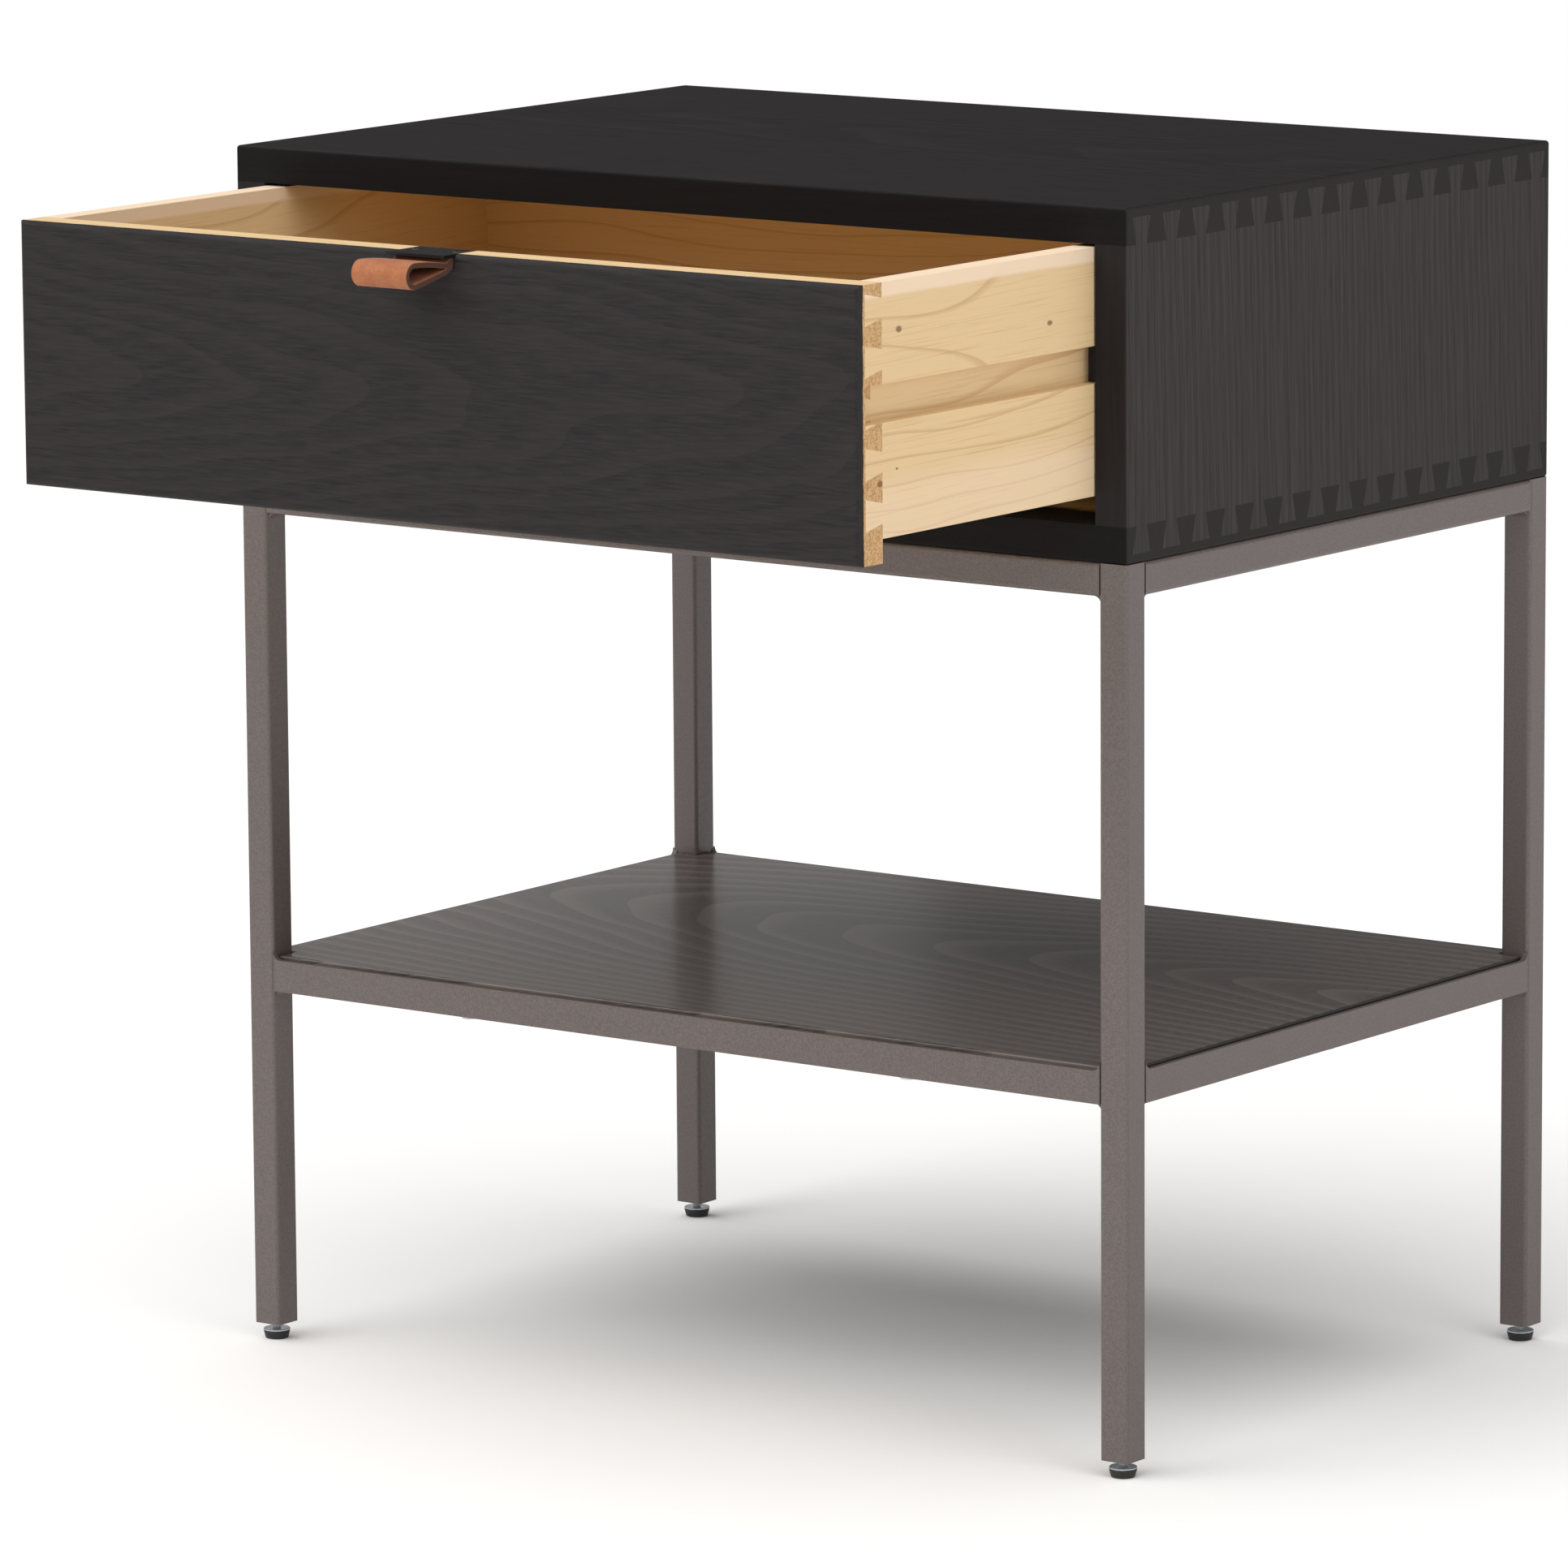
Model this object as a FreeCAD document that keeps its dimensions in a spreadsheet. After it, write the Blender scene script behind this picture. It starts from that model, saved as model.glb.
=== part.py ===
import FreeCAD, Part
import math
import os
import Sketcher

# Side table with one drawer: a dovetailed wooden case on a welded square-tube frame with a lower
# shelf and levelling feet. Millimetres, +Z up, +Y to the back. The origin is on the floor, at the
# middle of the table's width and halfway between the pull's tip and the back of the case, with the
# drawer standing open by drawer_open.

doc = FreeCAD.newDocument("side_table")

# ---------------------------------------------------------------- driving dimensions

SIZES = [
    # (word, value or formula of earlier words, what it is)
    ("table_width", 572, "outside width of case and frame"),
    ("table_depth", 396, "outside depth of case and frame"),
    ("table_height", 648, "floor to table top"),
    ("case_height", 179, "top face to underside of the case"),
    ("case_board", 19, "thickness of the four case boards"),
    ("case_lap", 5, "wood left over the ends of the case tails"),
    ("case_tails", 15, "number of tails at each case corner"),
    ("case_pin_wide", 17.5, "case pin width at the inner face"),
    ("case_pin_narrow", 10.5, "case pin width under the lap"),
    ("case_round", 1.8, "rounding of the case's outer edges"),
    ("back_board", 6, "thickness of the back panel"),
    ("drawer_open", 199, "how far the drawer stands open at rest"),
    ("drawer_side_gap", 1, "air between drawer and case at each side"),
    ("drawer_top_gap", 1.5, "air over the drawer front"),
    ("drawer_bottom_gap", 2.5, "air under the drawer front"),
    ("drawer_back_gap", 5, "air behind the drawer when it is shut"),
    ("drawer_height", "=case_height - 2 * case_board - drawer_top_gap - drawer_bottom_gap",
     "height of the drawer front"),
    ("drawer_length", "=table_depth - back_board - drawer_back_gap",
     "face of the front to the back end of the sides"),
    ("front_board", 19, "thickness of the drawer front"),
    ("front_round", 3, "rounding round the drawer's face"),
    ("side_board", 13, "thickness of drawer sides and back"),
    ("side_lift", 12, "lower edge of the drawer front to that of the sides"),
    ("side_height", "=drawer_height - side_lift", "height of the drawer sides"),
    ("drawer_lap", 5, "wood left over the ends of the drawer tails"),
    ("drawer_tails", 5, "number of tails at each drawer corner"),
    ("drawer_pin_wide", 15, "drawer pin width at the back of the front"),
    ("drawer_pin_narrow", 9, "drawer pin width under the lap"),
    ("groove_height", 19, "height of the runner groove"),
    ("groove_depth", 7, "depth of the runner groove"),
    ("groove_down", 49.5, "top of the drawer side to the runner groove"),
    ("ply_board", 6, "thickness of the drawer bottom"),
    ("ply_groove", 6, "depth of the grooves round the drawer bottom"),
    ("ply_play", 0.5, "air at the edges of the drawer bottom in its grooves"),
    ("ply_up", 8, "drawer side's lower edge to the drawer bottom"),
    ("housing_depth", 4, "how deep the drawer back is let into the sides"),
    ("runner_gap", 0.3, "air between runner and groove"),
    ("runner_back_gap", 4, "air behind the runners"),
    ("strap_width", 35, "width of the leather strap"),
    ("strap_thick", 2.75, "thickness of one ply of the strap"),
    ("pull_reach", 37, "how far the pull stands out of the drawer's face"),
    ("pull_height", 13.5, "outside height of the pull's loop"),
    ("pull_notch", 37.2, "width of the notch for the pull"),
    ("plate_gap", 0.2, "air at each end of the pull plate"),
    ("plate_thick", 1.5, "thickness of the pull plate"),
    ("plate_overhang", 8, "how far the pull plate stands over the strap in front"),
    ("pull_screw_span", 26, "distance between the two pull screws"),
    ("tube_side", 17, "outside size of the square tube and of the angle"),
    ("tube_wall", 1.5, "wall of the square tube"),
    ("tube_round", 2, "outside corner radius of the square tube"),
    ("angle_wall", 3, "thickness of the angle under the shelf"),
    ("angle_level", 193, "floor to the underside of the shelf angle"),
    ("weld_size", 4.5, "leg of the weld beads"),
    ("shelf_board", 16, "thickness of the shelf"),
    ("shelf_play", 1, "air round the shelf and its notches"),
    ("shelf_round", 1, "rounding of the shelf's upper edges"),
    ("foot_pad_height", 4.5, "height of the foot pad"),
    ("foot_pad_low", 6.25, "radius of the pad at the floor"),
    ("foot_pad_high", 7.25, "radius of the pad under its flange"),
    ("foot_flange", 1, "thickness of the steel flange over the pad"),
    ("foot_out", 3.5, "stem showing between flange and leg"),
    ("foot_stem", 2.4, "radius of the foot's threaded stem"),
    ("foot_stem_long", 22, "length of the stem over its flange"),
    ("foot_clearance", 0.05, "radial clearance of the stem in its insert"),
    ("insert_height", 10, "height of the threaded insert in each leg"),
    ("wood_screw_head", 4, "head radius of the wood screws"),
    ("wood_screw_head_thick", 2.4, "head thickness of the wood screws"),
    ("wood_screw_shank", 1.9, "shank radius of the wood screws"),
    ("wood_screw_bite", 12, "how deep the wood screws go into the wood"),
    ("screw_clearance", 0.1, "radial clearance round screw heads and shanks"),
    ("access_hole", 5.5, "radius of the driver holes under the top rails"),
    ("small_screw_head", 3.4, "head radius of pull and drawer bottom screws"),
    ("small_screw_head_thick", 1.8, "head thickness of the small screws"),
    ("small_screw_shank", 1.6, "shank radius of the small screws"),
    ("small_screw_bite", 10, "how deep the small screws go into the wood"),
    ("small_screw_proud", 0.6, "how far the pull screws stand over their plate"),
]

sheet = doc.addObject("Spreadsheet::Sheet", "size")
for row, (word, number, meaning) in enumerate(SIZES, start=1):
    sheet.set("A%d" % row, meaning)
    sheet.set("B%d" % row, str(number))
    sheet.setAlias("B%d" % row, word)
doc.recompute()

# Lengths that follow from the sheet, as formulas that any object can be bound to.
HALF_WIDTH = "(size.table_width / 2)"
FRONT_Y = "((size.drawer_open + size.pull_reach - size.table_depth) / 2)"
MID_Y = "(%s + size.table_depth / 2)" % FRONT_Y
BACK_Y = "(%s + size.table_depth)" % FRONT_Y
CASE_FLOOR = "(size.table_height - size.case_height)"
CASE_TAIL = "(size.case_board - size.case_lap)"
CASE_PITCH = "(size.table_depth / size.case_tails)"
OPENING_HALF = "(%s - size.case_board)" % HALF_WIDTH
OPENING_HEIGHT = "(size.case_height - 2 * size.case_board)"
OPENING_FLOOR = "(%s + size.case_board)" % CASE_FLOOR
LEG_FOOT = "(size.foot_pad_height + size.foot_flange + size.foot_out)"
ACROSS = "(size.table_width - 2 * size.tube_side)"
ALONG = "(size.table_depth - 2 * size.tube_side)"
TUBE_HOLLOW = "(size.tube_side - 2 * size.tube_wall)"

DRAWER_HALF = "(%s - size.drawer_side_gap)" % OPENING_HALF
DRAWER_Y = "(%s - size.drawer_open)" % FRONT_Y
DRAWER_Z = "(size.table_height - size.case_board - size.drawer_top_gap - size.drawer_height)"
DRAWER_PITCH = "(size.side_height / size.drawer_tails)"
SIDE_UP = "size.side_lift"
GROOVE_Z = "(size.side_height - size.groove_down - size.groove_height)"
PLY_TOP = "(size.ply_up + size.ply_board)"
NOTCH_DEEP = "(2 * size.strap_thick + size.plate_thick)"
RUNNER_THICK = "(size.drawer_side_gap + size.groove_depth - size.runner_gap)"
RUNNER_FRONT = "(size.drawer_lap + size.runner_gap)"
RUNNER_LONG = "(size.table_depth - size.back_board - size.runner_back_gap - %s)" % RUNNER_FRONT
RUNNER_HIGH = "(size.groove_height - 2 * size.runner_gap)"
RUNNER_Z = "(%s + %s + %s + size.runner_gap)" % (DRAWER_Z, SIDE_UP, GROOVE_Z)

# Turns that point a screw, a bore or a rail the way it goes.
X_AXIS = FreeCAD.Vector(1, 0, 0)
Y_AXIS = FreeCAD.Vector(0, 1, 0)
Z_AXIS = FreeCAD.Vector(0, 0, 1)
POINT_UP = FreeCAD.Rotation(Z_AXIS, 0)
POINT_DOWN = FreeCAD.Rotation(X_AXIS, 180)
POINT_LEFT = FreeCAD.Rotation(Y_AXIS, -90)


# ---------------------------------------------------------------- helpers

def value(formula):
    """The number that a formula gives now."""
    return float(sheet.evalExpression(formula))


def place(thing, x="0", y="0", z="0", turn=None):
    """Bind an object's position to formulas, after an optional fixed turn."""
    if turn is not None:
        thing.Placement = FreeCAD.Placement(FreeCAD.Vector(), turn)
    thing.setExpression("Placement.Base.x", x)
    thing.setExpression("Placement.Base.y", y)
    thing.setExpression("Placement.Base.z", z)
    return thing


def box(name, size_x, size_y, size_z):
    """A plain block, bound to three formulas."""
    block = doc.addObject("Part::Box", name)
    block.setExpression("Length", size_x)
    block.setExpression("Width", size_y)
    block.setExpression("Height", size_z)
    return block


def rod(name, radius, length):
    """A plain cylinder along +Z, bound to two formulas."""
    cylinder = doc.addObject("Part::Cylinder", name)
    cylinder.setExpression("Radius", radius)
    cylinder.setExpression("Height", length)
    return cylinder


def group(name, pieces):
    """Separate solids that share one node."""
    compound = doc.addObject("Part::Compound", name)
    compound.Links = pieces
    return compound


def cut(name, base, tools):
    """A piece with bores or hollows taken out of it."""
    result = doc.addObject("Part::Cut", name)
    result.Base = base
    result.Tool = group(name + "_tools", tools)
    return result


def mirrored(name, source):
    """The same piece on the other side of the table's middle plane."""
    copy = doc.addObject("Part::Mirroring", name)
    copy.Source = source
    copy.Normal = X_AXIS
    return copy


def body_plane(body, role):
    """One of a body's own origin planes."""
    return next(plane for plane in body.Origin.OriginFeatures if plane.Role == role)


def polygon(body, name, role, corners, offset="0"):
    """A closed sketch whose every corner is bound to a pair of formulas."""
    sketch = body.newObject("Sketcher::SketchObject", name)
    sketch.AttachmentSupport = (body_plane(body, role), "")
    sketch.MapMode = "FlatFace"
    sketch.setExpression("AttachmentOffset.Base.z", offset)
    points = [FreeCAD.Vector(value(across), value(up), 0) for across, up in corners]
    for index, point in enumerate(points):
        sketch.addGeometry(Part.LineSegment(point, points[(index + 1) % len(points)]), False)
    for index in range(len(points)):
        following = (index + 1) % len(points)
        sketch.addConstraint(Sketcher.Constraint("Coincident", index, 2, following, 1))
    for index, (across, up) in enumerate(corners):
        measures = (("DistanceX", across, points[index].x), ("DistanceY", up, points[index].y))
        for kind, formula, number in measures:
            slot = sketch.addConstraint(Sketcher.Constraint(kind, -1, 1, index, 1, number))
            sketch.setExpression("Constraints[%d]" % slot, formula)
    return sketch


def rectangle(body, name, role, low, high, offset="0"):
    """A rectangle from its low corner to its high corner."""
    corners = [(low[0], low[1]), (high[0], low[1]), (high[0], high[1]), (low[0], high[1])]
    return polygon(body, name, role, corners, offset)


def pad(body, sketch, length, middle=False, reverse=False):
    """Give a sketch thickness."""
    feature = body.newObject("PartDesign::Pad", sketch.Name + "_pad")
    feature.Profile = sketch
    feature.setExpression("Length", length)
    feature.Midplane = middle
    feature.Reversed = reverse
    doc.recompute()
    return feature


def pocket(body, sketch, length, reverse=False):
    """Cut a sketch into a body, and make sure that it did cut."""
    before = body.Shape.Volume
    feature = body.newObject("PartDesign::Pocket", sketch.Name + "_pocket")
    feature.Profile = sketch
    feature.setExpression("Length", length)
    feature.Reversed = reverse
    doc.recompute()
    if not body.Shape.Volume < before:
        raise RuntimeError("%s cuts nothing" % feature.Name)
    return feature


def repeat(body, feature, role, count, pitch):
    """Repeat a feature along one of the body's own axes."""
    pattern = body.newObject("PartDesign::LinearPattern", feature.Name + "_row")
    pattern.Originals = [feature]
    axis = next(line for line in body.Origin.OriginFeatures if line.Role == role)
    pattern.Direction = (axis, [""])
    pattern.setExpression("Length", "%s * (%s - 1)" % (pitch, count))
    pattern.setExpression("Occurrences", count)
    body.Tip = pattern
    doc.recompute()
    return pattern


def round_edges(body, radius, chosen):
    """Round the edges whose two end points both pass the test."""
    shape = body.Shape
    names = []
    for number, edge in enumerate(shape.Edges, start=1):
        if chosen(edge.Vertexes[0].Point, edge.Vertexes[-1].Point):
            names.append("Edge%d" % number)
    base = body.Tip
    fillet = body.newObject("PartDesign::Fillet", body.Name + "_rounding")
    fillet.Base = (base, names)
    fillet.setExpression("Radius", radius)
    doc.recompute()
    return fillet


def near(first, second):
    """Whether two lengths are the same place."""
    return abs(first - second) < 0.01


def screw(name, head, head_thick, shank, length):
    """A screw with its head's underside at its own origin and its shank along its own +Z."""
    head_rod = place(rod(name + "_head", head, head_thick), z="-" + head_thick)
    shank_rod = rod(name + "_shank", shank, length)
    whole = doc.addObject("Part::MultiFuse", name)
    whole.Shapes = [head_rod, shank_rod]
    return whole


def wood_screw(name, length):
    """One of the larger wood screws."""
    head = ("size.wood_screw_head", "size.wood_screw_head_thick")
    return screw(name, *head, "size.wood_screw_shank", length)


def small_screw(name, length):
    """One of the small screws of the drawer."""
    head = ("size.small_screw_head", "size.small_screw_head_thick")
    return screw(name, *head, "size.small_screw_shank", length)


def wood_hole(name, depth):
    """The hole that a larger wood screw's shank goes in."""
    return rod(name, "size.wood_screw_shank + size.screw_clearance", depth)


def small_hole(name, depth):
    """The hole that a small screw's shank goes in."""
    return rod(name, "size.small_screw_shank + size.screw_clearance", depth)


# Each side of the frame: its turn about +Z, and the x and y of the middle of its outer plane.
RAIL_SIDES = {
    "front": (0, "0", FRONT_Y),
    "back": (180, "0", BACK_Y),
    "left": (-90, "-" + HALF_WIDTH, MID_Y),
    "right": (90, HALF_WIDTH, MID_Y),
}

# Each leg: the lowest x and the lowest y that its square takes up.
LEG_CORNERS = {
    "front_left": ("-" + HALF_WIDTH, FRONT_Y),
    "front_right": ("(%s - size.tube_side)" % HALF_WIDTH, FRONT_Y),
    "back_left": ("-" + HALF_WIDTH, "(%s - size.tube_side)" % BACK_Y),
    "back_right": ("(%s - size.tube_side)" % HALF_WIDTH, "(%s - size.tube_side)" % BACK_Y),
}

NODES = {}


def node(name, thing):
    """Keep a finished sub-part under the name of its node."""
    thing.Label = name
    NODES[name] = thing
    return thing


# ---------------------------------------------------------------- case

def dovetail(wide, narrow, centre, start, end):
    """Corners of one dovetail outline along (position, height): wide at end, narrow at start."""
    return [
        ("%s - %s / 2" % (centre, narrow), start),
        ("%s + %s / 2" % (centre, narrow), start),
        ("%s + %s / 2" % (centre, wide), end),
        ("%s - %s / 2" % (centre, wide), end),
    ]


def pin_board(name):
    """Top or bottom of the case: inner face at its own z = 0, sockets for the sides' tails."""
    body = doc.addObject("PartDesign::Body", name + "_board")
    low = ("-" + HALF_WIDTH, "0")
    high = (HALF_WIDTH, "size.table_depth")
    outline = rectangle(body, name + "_outline", "XY_Plane", low, high)
    pad(body, outline, "size.case_board")
    thick = value("size.case_board")
    depth = value("size.table_depth")
    half = value(HALF_WIDTH)

    def outer(first, last):
        """The four edges of the outer face and the four corners between the faces."""
        if near(first.z, thick) and near(last.z, thick):
            return True
        upright = near(first.x, last.x) and near(first.y, last.y)
        return upright and near(abs(first.x), half) and (near(first.y, 0) or near(first.y, depth))

    round_edges(body, "size.case_round", outer)
    tail_wide = "(%s - size.case_pin_narrow)" % CASE_PITCH
    tail_narrow = "(%s - size.case_pin_wide)" % CASE_PITCH
    corners = dovetail(tail_wide, tail_narrow, "%s / 2" % CASE_PITCH, "0", CASE_TAIL)
    for end, offset, reverse in (("left", "-" + HALF_WIDTH, True), ("right", HALF_WIDTH, False)):
        sketch = polygon(body, "%s_socket_%s" % (name, end), "YZ_Plane", corners, offset)
        socket = pocket(body, sketch, "size.case_board", reverse)
        repeat(body, socket, "Y_Axis", "size.case_tails", CASE_PITCH)
    return body


def tail_board(name):
    """Left side of the case, between the laps of top and bottom, with the spaces for their pins."""
    body = doc.addObject("PartDesign::Body", name + "_board")
    end = "(size.case_height / 2 - size.case_lap)"
    base = "(size.case_height / 2 - size.case_board)"
    outline = rectangle(body, name + "_outline", "YZ_Plane", ("0", "-" + end), ("size.table_depth", end))
    pad(body, outline, "size.case_board")
    for edge, sign in (("upper", ""), ("lower", "-")):
        corners = dovetail("size.case_pin_wide", "size.case_pin_narrow", "0", sign + end, sign + base)
        sketch = polygon(body, "%s_%s" % (name, edge), "YZ_Plane", corners)
        space = pocket(body, sketch, "size.case_board", True)
        repeat(body, space, "Y_Axis", "size.case_tails + 1", CASE_PITCH)
    depth = value("size.table_depth")

    def outer(first, last):
        """The two long upright edges of the outer face."""
        upright = near(first.y, last.y) and abs(first.z - last.z) > depth / 100
        return upright and near(first.x, 0) and near(last.x, 0) and (near(first.y, 0) or near(first.y, depth))

    round_edges(body, "size.case_round", outer)
    return body


def runner_screw_places():
    """Distances from the case's front to the three screws of each runner."""
    return ["%s + %s * %s" % (RUNNER_FRONT, RUNNER_LONG, share) for share in ("0.1", "0.5", "0.9")]


def rail_screw_places(side):
    """(x, y) of the two screws that go up through the front or the back rail into the case."""
    inset = "size.tube_side / 2"
    quarter = "(size.table_width / 4)"
    if side == "front":
        y = "%s + %s" % (FRONT_Y, inset)
    elif side == "back":
        y = "%s - %s" % (BACK_Y, inset)
    else:
        return []
    return [("-" + quarter, y), (quarter, y)]


def build_case():
    """Top, bottom, two sides and the back panel."""
    top = place(pin_board("case_top"), "0", FRONT_Y, "size.table_height - size.case_board")
    node("case_top", top)

    # the bottom is the same board turned over, drilled from below for the frame's screws
    floor = place(pin_board("case_bottom"), "0", FRONT_Y, OPENING_FLOOR, FreeCAD.Rotation(Y_AXIS, 180))
    holes = []
    for side in RAIL_SIDES:
        for number, (x, y) in enumerate(rail_screw_places(side)):
            hole = wood_hole("case_floor_hole_%s_%d" % (side, number), "size.wood_screw_bite")
            holes.append(place(hole, x, y, CASE_FLOOR))
    node("case_bottom", cut("case_bottom_drilled", floor, holes))

    side = place(tail_board("case_side"), "-" + HALF_WIDTH, FRONT_Y, "%s + size.case_height / 2" % CASE_FLOOR)
    holes = []
    for number, along in enumerate(runner_screw_places()):
        hole = wood_hole("case_side_hole_%d" % number, "size.wood_screw_bite")
        y = "%s + %s" % (FRONT_Y, along)
        holes.append(place(hole, "-" + OPENING_HALF, y, runner_middle(), POINT_LEFT))
    left = node("case_side_left", cut("case_side_drilled", side, holes))
    node("case_side_right", mirrored("case_side_mirrored", left))

    back = box("case_back_board", "2 * " + OPENING_HALF, "size.back_board", OPENING_HEIGHT)
    node("case_back", place(back, "-" + OPENING_HALF, "%s - size.back_board" % BACK_Y, OPENING_FLOOR))


# ---------------------------------------------------------------- runners

def runner_middle():
    """Height of the runners' centre line."""
    return "%s + %s / 2" % (RUNNER_Z, RUNNER_HIGH)


def build_runners():
    """A hardwood strip on each side of the case, screwed on from inside."""
    blank = box("runner_blank", RUNNER_THICK, RUNNER_LONG, RUNNER_HIGH)
    place(blank, "-" + OPENING_HALF, "%s + %s" % (FRONT_Y, RUNNER_FRONT), RUNNER_Z)
    face = "-%s + %s" % (OPENING_HALF, RUNNER_THICK)
    seat = "(size.wood_screw_head_thick + size.runner_gap)"
    holes = []
    screws = []
    for number, along in enumerate(runner_screw_places()):
        y = "%s + %s" % (FRONT_Y, along)
        recess = rod("runner_recess_%d" % number, "size.wood_screw_head + size.screw_clearance", seat)
        holes.append(place(recess, face, y, runner_middle(), POINT_LEFT))
        through = wood_hole("runner_hole_%d" % number, RUNNER_THICK)
        holes.append(place(through, face, y, runner_middle(), POINT_LEFT))
        length = "%s - %s + size.wood_screw_bite - size.screw_clearance" % (RUNNER_THICK, seat)
        fixing = wood_screw("runner_screw_%d" % number, length)
        screws.append(place(fixing, "%s - %s" % (face, seat), y, runner_middle(), POINT_LEFT))
    left = node("runner_left", cut("runner_drilled", blank, holes))
    node("runner_right", mirrored("runner_mirrored", left))
    left_screws = group("runner_screws_left", screws)
    right_screws = mirrored("runner_screws_right", left_screws)
    node("runner_screws", group("runner_screws_both", [left_screws, right_screws]))


# ---------------------------------------------------------------- drawer

def drawer_front_body():
    """The front: face at its own y = 0, sockets for the sides' tails, runner, bottom and pull cuts."""
    body = doc.addObject("PartDesign::Body", "drawer_front_board")
    low = ("-" + DRAWER_HALF, "0")
    high = (DRAWER_HALF, "size.drawer_height")
    outline = rectangle(body, "front_outline", "XZ_Plane", low, high)
    pad(body, outline, "size.front_board", reverse=True)

    def face_edge(first, last):
        """The four edges of the face."""
        return near(first.y, 0) and near(last.y, 0)

    round_edges(body, "size.front_round", face_edge)
    tail_wide = "(%s - size.drawer_pin_narrow)" % DRAWER_PITCH
    tail_narrow = "(%s - size.drawer_pin_wide)" % DRAWER_PITCH
    centre = "%s + %s / 2" % (SIDE_UP, DRAWER_PITCH)
    profile = dovetail(tail_wide, tail_narrow, centre, "size.front_board", "size.drawer_lap")
    corners = [(along, height) for height, along in profile]
    groove_low = "%s + %s" % (SIDE_UP, GROOVE_Z)
    for end, offset, reverse in (("left", "-" + DRAWER_HALF, True), ("right", DRAWER_HALF, False)):
        sketch = polygon(body, "front_socket_" + end, "YZ_Plane", corners, offset)
        socket = pocket(body, sketch, "size.side_board", reverse)
        repeat(body, socket, "Z_Axis", "size.drawer_tails", DRAWER_PITCH)
        low = ("size.drawer_lap", groove_low)
        high = ("size.front_board", "%s + size.groove_height" % groove_low)
        groove = rectangle(body, "front_groove_" + end, "YZ_Plane", low, high, offset)
        pocket(body, groove, "size.groove_depth", reverse)
    ply_half = "(%s - size.side_board + size.ply_groove)" % DRAWER_HALF
    low = ("size.front_board - size.ply_groove", "%s + size.ply_up" % SIDE_UP)
    high = ("size.front_board", "%s + %s" % (SIDE_UP, PLY_TOP))
    slot = rectangle(body, "front_ply_groove", "YZ_Plane", low, high, ply_half)
    pocket(body, slot, "2 * " + ply_half)
    low = ("-size.pull_notch / 2", "size.drawer_height - %s" % NOTCH_DEEP)
    high = ("size.pull_notch / 2", "size.drawer_height")
    notch = rectangle(body, "front_pull_notch", "XZ_Plane", low, high)
    pocket(body, notch, "size.front_board")
    return body


def drawer_side_body():
    """Left side: outer face at its own x = 0, tails in front, grooves, and a housing for the back."""
    body = doc.addObject("PartDesign::Body", "drawer_side_board")
    low = ("size.drawer_lap", "0")
    high = ("size.drawer_length", "size.side_height")
    pad(body, rectangle(body, "side_outline", "YZ_Plane", low, high), "size.side_board")
    widths = ("size.drawer_pin_wide", "size.drawer_pin_narrow")
    profile = dovetail(*widths, "0", "size.drawer_lap", "size.front_board")
    corners = [(along, height) for height, along in profile]
    space = pocket(body, polygon(body, "side_pin_space", "YZ_Plane", corners), "size.side_board", True)
    repeat(body, space, "Z_Axis", "size.drawer_tails + 1", DRAWER_PITCH)
    high = ("size.drawer_length", "%s + size.groove_height" % GROOVE_Z)
    groove = rectangle(body, "side_runner_groove", "YZ_Plane", ("size.drawer_lap", GROOVE_Z), high)
    pocket(body, groove, "size.groove_depth", True)
    low = ("size.drawer_lap", "size.ply_up")
    high = ("size.drawer_length", PLY_TOP)
    slot = rectangle(body, "side_ply_groove", "YZ_Plane", low, high, "size.side_board")
    pocket(body, slot, "size.ply_groove")
    low = ("size.drawer_length - size.side_board", PLY_TOP)
    high = ("size.drawer_length", "size.side_height")
    housing = rectangle(body, "side_back_housing", "YZ_Plane", low, high, "size.side_board")
    pocket(body, housing, "size.housing_depth")
    return body


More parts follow.
